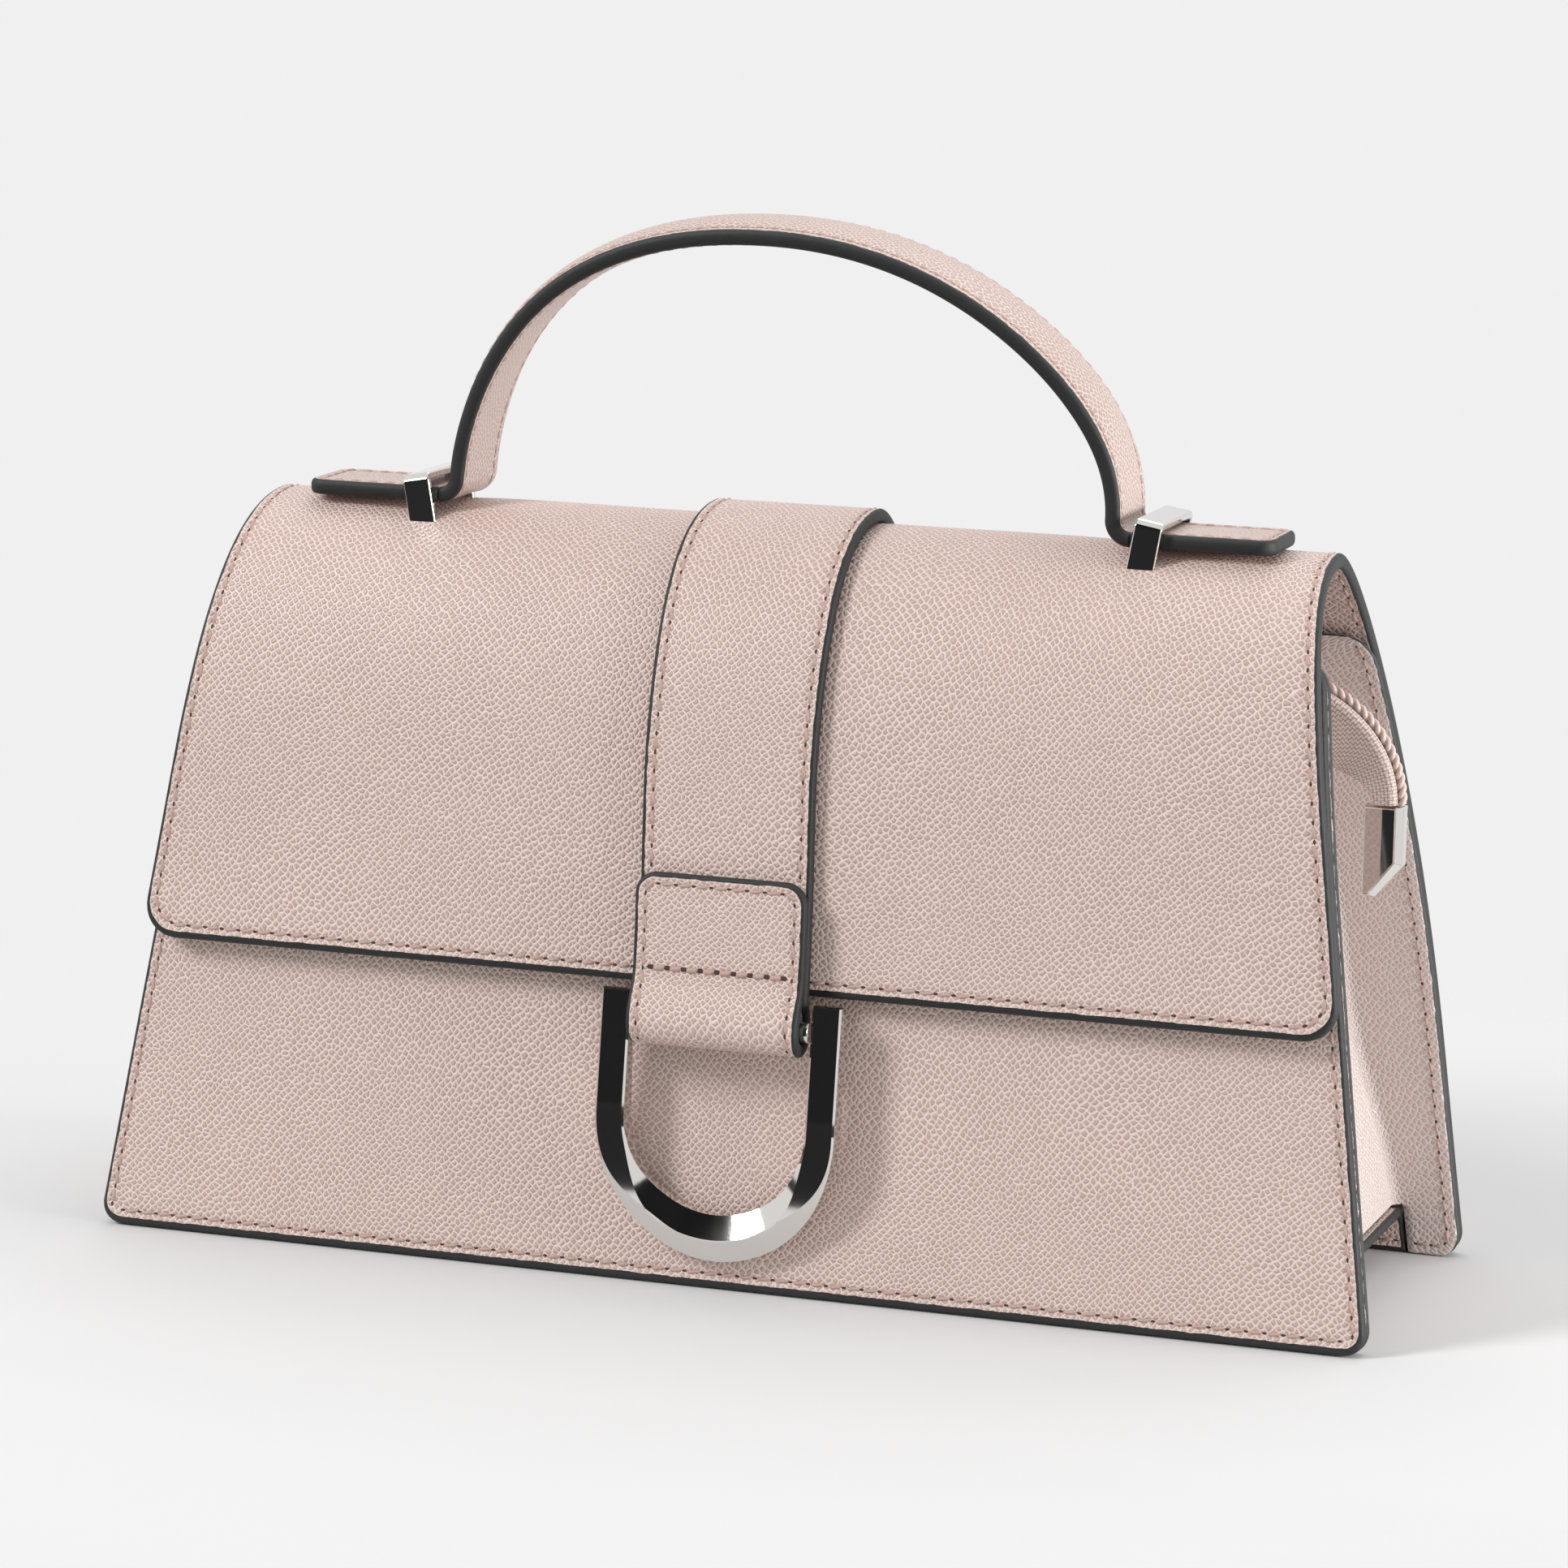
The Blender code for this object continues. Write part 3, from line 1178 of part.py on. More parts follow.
def make_slider(slide, swing):
    """Slider: two plates joined by a thin wedge, lips round the coil, a bail, and its puller."""
    centre = slide["place"][0]
    top = TAPE_TOP + GAP + COIL_H + GAP
    nose, tail = SLIDER_NOSE_W / 2, SLIDER_TAIL_W / 2
    half = SLIDER_LENGTH / 2
    m = ZIP_MIDDLE

    shoulder = centre + half * SLIDER_SHOULDER_RATIO
    tip_half = nose * SLIDER_TIP_RATIO
    shield = ((centre - half, m - tail), (shoulder, m - nose), (centre + half, m - tip_half),
              (centre + half, m + tip_half), (shoulder, m + nose), (centre - half, m + tail))
    plate = prism_mesh("zip_slider", shield, level_plate, top, top + SLIDER_PLATE_T)
    slider = add_piece("zip_slider", plate, slide, "nickel", math.radians(20))
    bottom = ZIP_Z - TAPE_T / 2 - GAP
    under = prism_mesh("slider_under", shield, level_plate, bottom - SLIDER_PLATE_T, bottom)
    join(slider, add_piece("slider_under", under, slide))
    sink = SLIDER_PLATE_T / 2
    wedge = ((centre + half - WEDGE_LENGTH, m - WEDGE_T / 2), (centre + half - GAP, m - WEDGE_T / 2),
             (centre + half - GAP, m + WEDGE_T / 2), (centre + half - WEDGE_LENGTH, m + WEDGE_T / 2))
    post = prism_mesh("slider_wedge", wedge, level_plate, bottom - sink, top + sink)
    join(slider, add_piece("slider_wedge", post, slide))
    lip_end = centre + half * SLIDER_LIP_RATIO
    for side in (-1, 1):
        inner = tail - SLIDER_LIP_T
        outer = tail - GAP / 2
        lip = ((centre - half + GAP, m + side * inner), (centre - half + GAP, m + side * outer),
               (lip_end, m + side * outer), (lip_end, m + side * inner))
        wall = prism_mesh("slider_lip", lip, level_plate, TAPE_TOP + GAP, top + sink)
        join(slider, add_piece("slider_lip", wall, slide))
    pin_z = top + SLIDER_PLATE_T + GAP + PULL_T / 2
    roof = pin_z + PULL_T / 2 + GAP
    span = BAIL_SPAN / 2
    thick = BAIL_T
    arch = ((centre - span, top + sink), (centre - span, roof), (centre - span + thick, roof + thick),
            (centre + span - thick, roof + thick), (centre + span, roof), (centre + span, top + sink),
            (centre + span - thick, top + sink), (centre + span - thick, roof), (centre - span + thick, roof),
            (centre - span + thick, top + sink))
    bail = prism_mesh("slider_bail", arch, in_front_view, m - BAIL_W / 2, m + BAIL_W / 2)
    join(slider, add_piece("slider_bail", bail, slide))

    # The puller lies along the zip, its eye round the bail, its pin under the bail's arch
    x0 = centre - PULL_PIN_R
    eye = BAIL_W / 2 + GAP
    w = PULL_W / 2
    tip = centre + PULL_LENGTH
    ease = w * PULL_TIP_RATIO
    end = w * PULL_EYE_RATIO
    outline = ((x0, m - end), (centre + PULL_EYE, m - w), (tip - ease, m - w), (tip, m - w + ease),
               (tip, m + w - ease), (tip - ease, m + w), (centre + PULL_EYE, m + w), (x0, m + end))
    pull = prism_mesh("zip_puller", outline, level_plate, pin_z - PULL_T / 2, pin_z + PULL_T / 2)
    puller = add_piece("zip_puller", pull, swing, "nickel", math.radians(20))
    hole = ((centre + PULL_PIN_R, m - eye), (centre + PULL_EYE, m - eye), (centre + PULL_EYE, m + eye),
            (centre + PULL_PIN_R, m + eye))
    opening = prism_mesh("puller_eye", hole, level_plate, pin_z - PULL_T, pin_z + PULL_T)
    cutter = add_piece("puller_eye", opening, swing)
    as_guide(cutter)
    cut(puller, cutter)


def centre_on_floor(root):
    """Move the whole bag so that its footprint box is centred on the origin."""
    bpy.context.view_layer.update()
    corners = []
    for obj in bpy.data.objects:
        if obj.type == "MESH" and not obj.hide_render:
            corners += [obj.matrix_world @ Vector(corner) for corner in obj.bound_box]
    low_y = min(c.y for c in corners)
    high_y = max(c.y for c in corners)
    root.location.y -= (low_y + high_y) / 2


def slider_places():
    """The slider's parked place over the zip's closed end, and its pin's height."""
    x = -(ZIP_HALF_LENGTH + GAP + ZIP_END_LENGTH / 2)
    pin_z = TAPE_TOP + GAP + COIL_H + GAP + SLIDER_PLATE_T + GAP + PULL_T / 2
    return x, pin_z


def main():
    clear_scene()
    root = pivot("bag", (0.0, 0.0, 0.0))
    hinge_y = float(back_face(RIM_Z))
    flap_hinge = pivot("flap_hinge", (0.0, hinge_y, RIM_Z), root)
    ring_swing = pivot("ring_swing", (0.0, BAR_Y, BAR_Z), flap_hinge)
    handle_tilt = pivot("handle_tilt", (0.0, RIDGE_Y, HANDLE_LINE_Z), flap_hinge)
    zip_front = pivot("zip_front_swing", (0.0, ZIP_FRONT + HINGE_INSET, ZIP_Z), root)
    zip_back = pivot("zip_back_swing", (0.0, ZIP_BACK - HINGE_INSET, ZIP_Z), root)
    park_x, pin_z = slider_places()
    slide = pivot("slider_slide", (park_x, ZIP_MIDDLE, ZIP_Z), root)
    pull_swing = pivot("puller_swing", (park_x, ZIP_MIDDLE, pin_z), slide)

    make_panels(root)
    make_gussets(root)
    make_base(root)
    make_facings(root)
    make_lining(root)
    layers = make_flap(flap_hinge)
    make_strap(flap_hinge)
    make_ring(ring_swing)
    make_handle(handle_tilt, flap_hinge)
    make_keepers(flap_hinge, layers)
    make_snap(root, flap_hinge)
    make_zip_halves(zip_front, zip_back)
    zip_end_pieces("zip_end", -1, root)
    make_zip_tail(root)
    make_slider(slide, pull_swing)
    centre_on_floor(root)


main()
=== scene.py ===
"""Looks of a small flap handbag over its frame: grained leather with painted edges and stitches,
a woven zip with wound coils, polished metal, and the studio round it. Metres, in the frame's own axes.
"""
import json
import math
from contextlib import contextmanager
from dataclasses import dataclass
from functools import partial
from typing import Callable

import bmesh
import bpy
import numpy as np
from bpy.props import FloatProperty, FloatVectorProperty, PointerProperty
from bpy.types import Operator, Panel, PropertyGroup
from mathutils import Matrix, Vector


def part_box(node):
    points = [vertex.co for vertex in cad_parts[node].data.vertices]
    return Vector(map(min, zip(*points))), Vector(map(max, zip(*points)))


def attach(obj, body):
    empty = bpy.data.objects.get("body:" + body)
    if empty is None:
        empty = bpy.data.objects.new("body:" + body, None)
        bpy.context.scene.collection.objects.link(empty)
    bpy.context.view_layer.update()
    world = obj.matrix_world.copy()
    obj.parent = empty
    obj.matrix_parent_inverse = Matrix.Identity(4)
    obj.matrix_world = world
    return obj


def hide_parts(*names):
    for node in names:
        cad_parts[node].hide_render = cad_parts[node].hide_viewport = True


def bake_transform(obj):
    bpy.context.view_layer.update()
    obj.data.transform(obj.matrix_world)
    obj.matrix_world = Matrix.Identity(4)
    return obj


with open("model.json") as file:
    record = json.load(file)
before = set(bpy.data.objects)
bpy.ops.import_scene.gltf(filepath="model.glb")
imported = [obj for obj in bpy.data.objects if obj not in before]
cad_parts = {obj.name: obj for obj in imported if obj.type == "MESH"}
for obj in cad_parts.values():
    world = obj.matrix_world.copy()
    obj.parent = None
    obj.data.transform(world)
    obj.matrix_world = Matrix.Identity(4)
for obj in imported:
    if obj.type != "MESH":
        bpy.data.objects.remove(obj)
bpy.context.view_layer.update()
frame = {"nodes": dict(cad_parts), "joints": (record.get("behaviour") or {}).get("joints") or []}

bl_info = {
    "name": "Flap handbag",
    "version": (1, 0, 0),
    "blender": (4, 5, 0),
    "location": "View3D > Sidebar > Handbag",
    "description": "Builds the visible pieces of a leather flap handbag over its packed frame",
    "category": "Object",
}

MM = 0.001
GAP = 0.0003

# Sizes that follow the frame's own drawing
BODY_HALF = 0.135
BODY_HALF_DEPTH = 0.04425
SIDE_LEAN = 0.1425
RIM_Z = 0.1326
FRONT_LEAN = 0.136
DRAW_IN_Z = 0.085
DRAW_IN = 0.0061
PANEL_T = 0.0030
BACK_BULGE = 0.0011
BACK_BULGE_Z = 0.048
BACK_PULLS = (0.024, 0.0336, 0.0547)
CREST_PULLS = (0.0145, 0.020)
RIDGE_Y = 0.00175
RIDGE_Z = 0.1506
SHOULDER_Z = 0.100
SHOULDER_PULL = 0.037
LIP_Z = 0.0614
LIP_CORNER_R = 0.008
FLAP_STANDOFF = 0.0055
GUSSET_T = 0.0020
WALL_FOOT_Z = 0.010
FACING_HEIGHT = 0.0273
FACING_T = 0.0015
ZIP_Z = 0.126
ZIP_HALF_LENGTH = 0.0820
ZIP_END_LENGTH = 0.0117
TAPE_T = 0.0008
COIL_W = 0.0020
COIL_H = 0.0015
COIL_PITCH = 0.00125
COIL_WIRE = 0.00033
COIL_LEAN = 0.18 * MM
ZIP_SLOT = 0.0011
STRAP_HALF = 0.018
STRAP_T = 0.0026
TAB_TOP_Z = 0.0842
CROSS_SEAM_Z = 0.0664
BAR_R = 0.00225
RING_STRAIGHT = 0.0197
RING_TOP = 0.0052
RING_PLAY = 0.00115
RING_HALF_DEPTH = 0.0025
RING_WIDTH, RING_SWELL = 0.0061, 0.0034
RING_BEVEL = (0.0004, 0.0042)
RING_FRONT = (-0.0031, 0.0029)
RING_RIM = (0.00035, 0.0022)
RING_FULLNESS = 1.25
RING_CLEAR = 0.0005
RING_BACK_BEVEL = (0.7, 0.4)
LOOP_ASIDE = 0.0013
STRAP_ASKEW_Z, STRAP_ASKEW_DROP = 0.112, 0.050
STRAP_BEHIND = 0.010
LOOP_CLOSING = (0.0063, 0.010)
RING_ASIDE = 0.0018
TAIL_LEVEL = 0.0050
TAIL_REACH = 0.0295
TAIL_DROP = 0.0250
TAIL_WIDTH, TAIL_SPREAD, TAIL_NARROW = 0.0083, 0.0028, 0.0062
TAIL_DROOP, TAIL_DROOPING = 87, 0.38
TAIL_SPREADING, TAIL_NARROWING = 0.20, 0.32
TAIL_FOLD_REACH = 2.4 * MM
TAIL_CURL, TAIL_CURL_PACE = 0.10, 260
CREST_PITCH, CREST_WIRE = 0.0038, 0.0006
CREST_HIGH, CREST_SWING, CREST_ASIDE = 0.00074, 0.00040, 0.00052
CAP_CORNER = (0.0055, 0.0066)
CAP_RIDGE = 0.0004
CAP_CREASE = 0.47
CAP_FRAME, CAP_SUNK = 0.0011, 0.00035
CAP_INSETS = ((0, 0, 0, 0), (0, 0, 0, 0), (0.0016, 0.0003, 0.0014, 0.0005), (0.0018, 0.0006, 0.0017, 0.0008))
HANDLE_HALF = 0.010
HANDLE_T = 0.0030
HANDLE_Y = -0.00125
HANDLE_SPAN = 0.0698
HANDLE_BEND_R = 0.0037
HANDLE_TOP_Z = 0.2095
HANDLE_LEAN = math.radians(4)
HANDLE_LEAN_START, HANDLE_LEAN_RISE = 0.006, 0.024
HANDLE_CROWN = 0.0012
HANDLE_SQUARE = 2.08
HANDLE_SWELL, HANDLE_DRIFT = 0.0018, 0.0045
HANDLE_DRAWN_IN = (0.0046, 0.0010)
HANDLE_PADDING = (0.0016, 0.0006)
KEEPER_X = 0.07731
HANDLE_END_REACH = KEEPER_X + 0.0257
SNAP_Z = 0.079

# Rounds and smaller thicknesses
FOOT_LIFT = 0.0002
FOOT_CORNER_R = 0.005
MOUTH_CORNER_R = 0.006
STRAP_CORNER_R = 0.0045
HANDLE_END_CORNER_R = 0.0035
FOLD_BEND_R = 0.003
FLANGE_FOOT, FLANGE_GROWTH, FLANGE_RISE = 0.0110, 0.0055, 0.045
FOLD_DEPTH, FOLD_RISE_POWER, FOLD_POWER = 0.0095, 1.2, 1.5
GUSSET_DIP, GUSSET_DIP_POWER = 0.014, 0.45
GUSSET_SAG = 0.00035
GUSSET_SEAM_FOOT_X = 0.1255
LINING_SAG = 0.0005
LINING_FRONT_T = 0.0006
LINING_MAP_SHIFT = 0.2
LINING_LIFT = 0.0018
FOOT_DEEPER, LIP_DEEPER = 0.0006, 0.0005
FLAP_WIDER, FLAP_WIDENING = 0.7 * MM, 0.05
PANEL_WAVE, FLAP_WAVE, BASE_WAVE = 0.00012, 0.00022, 0.00015
KEEPER_DENT, KEEPER_DENT_SIZE = 0.00045, (9 * MM, 15 * MM)
KEEPER_SWELL, KEEPER_SWELL_SIZE, KEEPER_SWELL_OFF = 0.0004, (14 * MM, 10 * MM), (0.025, 0.006)
BASE_T = 0.002
LINING_T = 0.0008
TAIL_CLEAR = 1.2 * MM

# Places across a sheet from its painted edge, close together where it rounds over and is sewn
MARKS = np.array([0, .03, .1, .22, .4, .65, 1.0, 1.4, 1.8, 2.2, 2.6, 3.0, 3.6, 4.4]) * MM
STITCH_INSET = 2.3 * MM
CHANNEL_DEPTH = 0.16 * MM
CHANNEL_WIDTH = 0.6 * MM
WELT_SHARE, WELT_INSET, WELT_WIDTH = 0.45, 1.1 * MM, 0.6 * MM
RIM_REACH, RIM_POWER = 0.34, 2.6

# Distance between needle holes and half the thread's thickness, where they aren't the usual ones
HANDLE_STITCH = (3.2 * MM, 0.27 * MM)
GUSSET_STITCH = (3.2 * MM, 0.3 * MM)
CROSS_STITCH = (3.7 * MM, 0.56 * MM)
STITCH_SLANT = math.radians(8)
STITCH_SHARE = 0.76

# Colours as display values from 0 to 255
TAPE_COLORS = ((214, 197, 188), (150, 130, 121))
COIL_COLOR = (210, 188, 179)
CLOTH_COLORS = ((186, 168, 160), (150, 130, 122))
# The needle holes' dark colour is painted shade: the shadow inside each hole
NEEDLE_HOLE_SHADE_COLOR = (74, 50, 42)
BOARD_COLOR = (120, 110, 104)
# The cards' dark colour is seen only in reflections: painted dark reflections
REFLECTION_CARD_COLOR = (36, 36, 37)

# The studio: each lamp's and card's place and size, the dark cards out of the picture, which only
# reflections see, painted dark reflections on the metal and leather, and the camera's turn in degrees, place
# and lens
STAGE_MIDDLE = (0.0, 0.0, 0.08)
LAMPS = (("top", (0.1, 0.6, 1.4), (1.5, 1.0)), ("key", (-1.25, -1.2, 1.35), (0.5, 0.8)),
         ("side", (1.5, -0.05, 0.26), (0.9, 0.4)))
CARDS = (("front_flag", (-0.3, -1.9, 1.5), (-0.3, 0.0, 1.5), (3.6, 3.8)),
         ("table_flag", (-0.6, -1.13, 0.001), (-0.6, -1.13, 1.0), (2.0, 2.0)))
FLOOR_SIZE, FLOOR_LEVEL, FLOOR_FADE = (4, 4), 0.66, (0.18, 0.37)
WORLD_LIGHT = 0.60
CAMERA_TURN, CAMERA_PLACE, CAMERA_LENS = (18.769, 10.455, 1.08), (0.38884, -1.14533, 0.31949), 138.19


def joint_place(name):
    """Place of a joint of the frame at rest."""
    return next(np.array(j["pos_m"], float) for j in frame["joints"] if j["name"] == name)


def unit(vectors):
    return vectors / np.linalg.norm(vectors, axis=-1, keepdims=True)


def running(steps):
    """Sums of the steps so far, from zero."""
    return np.concatenate(([0.0], np.cumsum(steps)))


def round_angles(count):
    return np.linspace(0, 2 * math.pi, count, endpoint=False)


def smooth(value):
    """Ease from 0 to 1: three squares less two cubes."""
    value = np.clip(value, 0, 1)
    return value * value * (3 - 2 * value)


def bump_at(value, place, width):
    """Bell curve of height one round a place."""
    return np.exp(-((value - place) / width) ** 2)


def ripple(a, b, seed):
    """Soft uneven field between -1 and 1: a sum of four slow waves in turned directions."""
    rng = np.random.default_rng(seed)
    total = np.zeros(np.broadcast(a, b).shape)
    for _ in range(4):
        turn, phase = rng.uniform(0, 2 * math.pi, 2)
        pace = rng.uniform(60, 150)
        total = total + np.sin(pace * (a * math.cos(turn) + b * math.sin(turn)) + phase)
    return total / 4


class Line:
    """A plane curve through dense points, read by the length run along it."""

    def __init__(self, points):
        self.points = np.asarray(points, float)
        steps = np.diff(self.points, axis=0)
        self.run = running(np.hypot(steps[:, 0], steps[:, 1]))
        heading = np.unwrap(np.arctan2(steps[:, 1], steps[:, 0]))
        self.heading = np.interp(self.run, (self.run[1:] + self.run[:-1]) / 2, heading)
        self.length = float(self.run[-1])

    def at(self, run):
        return np.stack([np.interp(run, self.run, self.points[:, k]) for k in (0, 1)], -1)

    def normal(self, run):
        """Unit normal on the left of the way."""
        heading = np.interp(run, self.run, self.heading)
        return np.stack([-np.sin(heading), np.cos(heading)], -1)

    def offset(self, distance):
        return Line(self.points + self.normal(self.run) * distance)

    def stations(self, start, end, step, turn=math.radians(3)):
        """Lengths from start to end, closer together where the line turns."""
        inside = (self.run > start) & (self.run < end)
        run = np.concatenate(([start], self.run[inside], [end]))
        heading = np.interp(run, self.run, self.heading)
        total = running(np.abs(np.diff(heading)) / turn + np.diff(run) / step)
        count = max(3, math.ceil(total[-1]) + 1)
        return np.interp(np.linspace(0, total[-1], count), total, run)


def bezier(a, b, c, d, count=240):
    t = np.linspace(0, 1, count)[:, None]
    a, b, c, d = (np.asarray(p, float) for p in (a, b, c, d))
    return (1 - t) ** 3 * a + 3 * (1 - t) ** 2 * t * b + 3 * (1 - t) * t ** 2 * c + t ** 3 * d


def straight(a, b, count=60):
    t = np.linspace(0, 1, count)[:, None]
    return (1 - t) * np.asarray(a, float) + t * np.asarray(b, float)


def arc(centre, radius, start, end, count=40):
    turn = np.radians(np.linspace(start, end, count))
    return np.stack([centre[0] + radius * np.cos(turn), centre[1] + radius * np.sin(turn)], -1)


def side_line(z):
    """Half the bag's width at a height: it tapers evenly upwards."""
    return BODY_HALF - SIDE_LEAN * np.asarray(z, float)


def front_face(z):
    """Outer face of the front panel: a straight lean, then a square curve in to the mouth."""
    z = np.asarray(z, float)
    over = np.clip(z - DRAW_IN_Z, 0, None) / (RIM_Z - DRAW_IN_Z)
    return -BODY_HALF_DEPTH + FRONT_LEAN * z + DRAW_IN * over ** 2


def level_thickness(face, z, thickness):
    """Thickness of a leaning panel measured level."""
    step = 1e-4
    return thickness * np.sqrt(1 + ((face(z + step) - face(z - step)) / (2 * step)) ** 2)


def flap_front(z):
    return -BODY_HALF_DEPTH + FRONT_LEAN * z - FLAP_STANDOFF


def shell_line():
    """Section of the back and flap: up the back, over the ridge and down the front, as (y, z)."""
    foot = (BODY_HALF_DEPTH, 0.0)
    bulge = (BODY_HALF_DEPTH + BACK_BULGE, BACK_BULGE_Z)
    crest = (RIDGE_Y, RIDGE_Z)
    shoulder = (flap_front(SHOULDER_Z), SHOULDER_Z)
    reach = SHOULDER_PULL / math.hypot(1, FRONT_LEAN)
    above = (shoulder[0] + reach * FRONT_LEAN, SHOULDER_Z + reach)
    parts = (
        bezier(foot, (foot[0], BACK_PULLS[0]), (bulge[0], BACK_PULLS[1]), bulge),
        bezier(bulge, (bulge[0], bulge[1] + BACK_PULLS[2]), (crest[0] + CREST_PULLS[0], crest[1]), crest),
        bezier(crest, (crest[0] - CREST_PULLS[1], crest[1]), above, shoulder),
        straight(shoulder, (flap_front(LIP_Z), LIP_Z)),
    )
    return Line(np.concatenate([parts[0]] + [part[1:] for part in parts[1:]]))


SHELL = shell_line()
CREST_RUN = float(SHELL.run[np.argmax(SHELL.points[:, 1])])
RISING, FALLING = SHELL.run <= CREST_RUN, SHELL.run >= CREST_RUN


def back_run(z):
    return float(np.interp(z, SHELL.points[RISING, 1], SHELL.run[RISING]))


def front_run(z):
    return float(np.interp(-z, -SHELL.points[FALLING, 1], SHELL.run[FALLING]))


def back_face(z):
    return np.interp(z, SHELL.points[RISING, 1], SHELL.points[RISING, 0])


# The drawing's own y zero, in the frame
SHIFT_Y = float(joint_place("flap_hinge")[1] - back_face(RIM_Z))


def front_inner(z):
    return front_face(z) + level_thickness(front_face, z, PANEL_T)


def back_inner(z):
    return back_face(z) - level_thickness(back_face, z, PANEL_T)


def flange_width(z):
    return FLANGE_FOOT + FLANGE_GROWTH * smooth((z - WALL_FOOT_Z) / FLANGE_RISE)


def fold_depth(z):
    rise = np.clip((z - WALL_FOOT_Z) / (RIM_Z - WALL_FOOT_Z), 0, None)
    return FOLD_DEPTH * rise ** FOLD_RISE_POWER


def wall_line(z):
    return side_line(z) - flange_width(z) - FOLD_BEND_R


def rim_height(distance, thickness):
    """Half thickness at a distance from a painted edge: a soft square round, drawn as a superellipse."""
    inward = np.clip(1 - np.asarray(distance) / (RIM_REACH * thickness), 0, 1)
    return thickness / 2 * (1 - inward ** RIM_POWER) ** (1 / RIM_POWER)


def corner_inset(distance, radius):
    reach = np.clip(radius - np.asarray(distance, float), 0, radius)
    return radius - np.sqrt(radius ** 2 - reach ** 2)


@dataclass
class Sheet:
    """A strip or panel of leather: a line in section, a half width along it, and a thickness.

    The point at run s, place x across and height h is line(s) + normal(s) * h, moved x across.
    Its height falls to nothing at a free edge, and dips along the sewn line beside it.
    free, corners and deeper speak of the start and the end, sewn of the sides, the start and the end.
    """

    line: Line
    thickness: float
    half_width: Callable
    start: float = 0.0
    end: float = None
    plane: str = "side"
    across: float = 0.0
    lean: Callable = None
    free: tuple = (True, True)
    corners: tuple = (0.0, 0.0)
    sewn: tuple = (True, False, False)
    deeper: tuple = (0.0, 0.0)
    relief: Callable = None
    padding: Callable = None
    step: float = 3 * MM

    def __post_init__(self):
        if self.end is None:
            self.end = self.line.length

    def place(self, run, x, height):
        run, x, height = np.broadcast_arrays(run, x, height)
        at = self.line.at(run) + self.line.normal(run) * height[..., None]
        if self.plane == "side":
            across = self.across(at[..., 1]) if callable(self.across) else self.across
            return np.stack([across + x, at[..., 0] + SHIFT_Y, at[..., 1]], -1)
        aside, up = self.across + x, at[..., 1]
        if self.lean:
            turn, drift = self.lean(up)
            aside, up = self.across + x * np.cos(turn) + drift, up + x * np.sin(turn)
        return np.stack([at[..., 0], aside + SHIFT_Y, up], -1)

    def edge_distance(self, run, x, used=(True, True, True), deeper=(0.0, 0.0)):
        """Distance to the nearest of the used edges: the sides, the start and the end.

        deeper draws the start and the end in, where paint and seams lie further from them.
        """
        far = 1.0
        aside = self.half_width(run) - np.abs(x) if used[0] else np.full(np.broadcast(run, x).shape, far)
        nearest = aside
        for k, along in ((0, run - self.start - deeper[0]), (1, self.end - run - deeper[1])):
            if not used[k + 1]:
                continue
            radius = self.corners[k]
            round_off = radius - np.hypot(np.clip(radius - aside, 0, None), np.clip(radius - along, 0, None))
            in_corner = (aside < radius) & (along < radius)
            nearest = np.where(in_corner, np.minimum(nearest, round_off), np.minimum(nearest, along))
        return nearest

    def rows(self):
        near = []
        for k in (0, 1):
            marks = [np.zeros(1)]
            if self.free[k]:
                marks.append(MARKS)
            if self.corners[k]:
                marks.append(self.corners[k] * (1 - np.cos(np.linspace(0, math.pi / 2, 10))))
            near.append(np.unique(np.round(np.concatenate(marks), 6)))
        first, last = self.start + near[0][-1], self.end - near[1][-1]
        middle = self.line.stations(first, last, self.step)
        return np.unique(np.round(np.concatenate((self.start + near[0], middle, self.end - near[1])), 7))

    def grid(self):
        run = self.rows()
        half = self.half_width(run)
        for k, along in ((0, run - self.start), (1, self.end - run)):
            if self.corners[k]:
                half = half - corner_inset(along, self.corners[k])
        marks = MARKS[MARKS < float(np.min(half)) * 0.6]
        count = max(3, int(float(np.max(half)) * 2 / self.step))
        share = np.linspace(-1, 1, count + 2)[1:-1]
        half = half[:, None]
        x = np.concatenate((-half + marks, (half - marks[-1]) * share, half - marks[::-1]), axis=1)
        return run[:, None] + np.zeros_like(x), x

    def painted(self, run, x, deeper=(0.0, 0.0)):
        """Distance to the nearest painted edge."""
        return self.edge_distance(run, x, (True, *self.free), deeper)

    def height(self, run, x, side):
        """Height of one face above the middle, with its rim, sewn channel, the welt outside it and relief."""
        rim = rim_height(self.painted(run, x), self.thickness)
        sewn = self.edge_distance(run, x, self.sewn, self.deeper)
        welt = WELT_SHARE * bump_at(sewn, WELT_INSET, WELT_WIDTH)
        channel = bump_at(sewn, STITCH_INSET, CHANNEL_WIDTH) - welt
        height = rim - CHANNEL_DEPTH * channel * rim / (self.thickness / 2)
        if self.relief:
            height = height + side * self.relief(run, x) * rim / (self.thickness / 2)
        if self.padding:
            height = height + self.padding(run, x, side)
        return side * height

    def mesh(self):
        run, x = self.grid()
        top, low = (self.place(run, x, self.height(run, x, side)) for side in (1, -1))
        distance = np.clip(self.painted(run, x, self.deeper), -0.01, 0.05)
        return closed_sheet(top, low, distance, x, run)


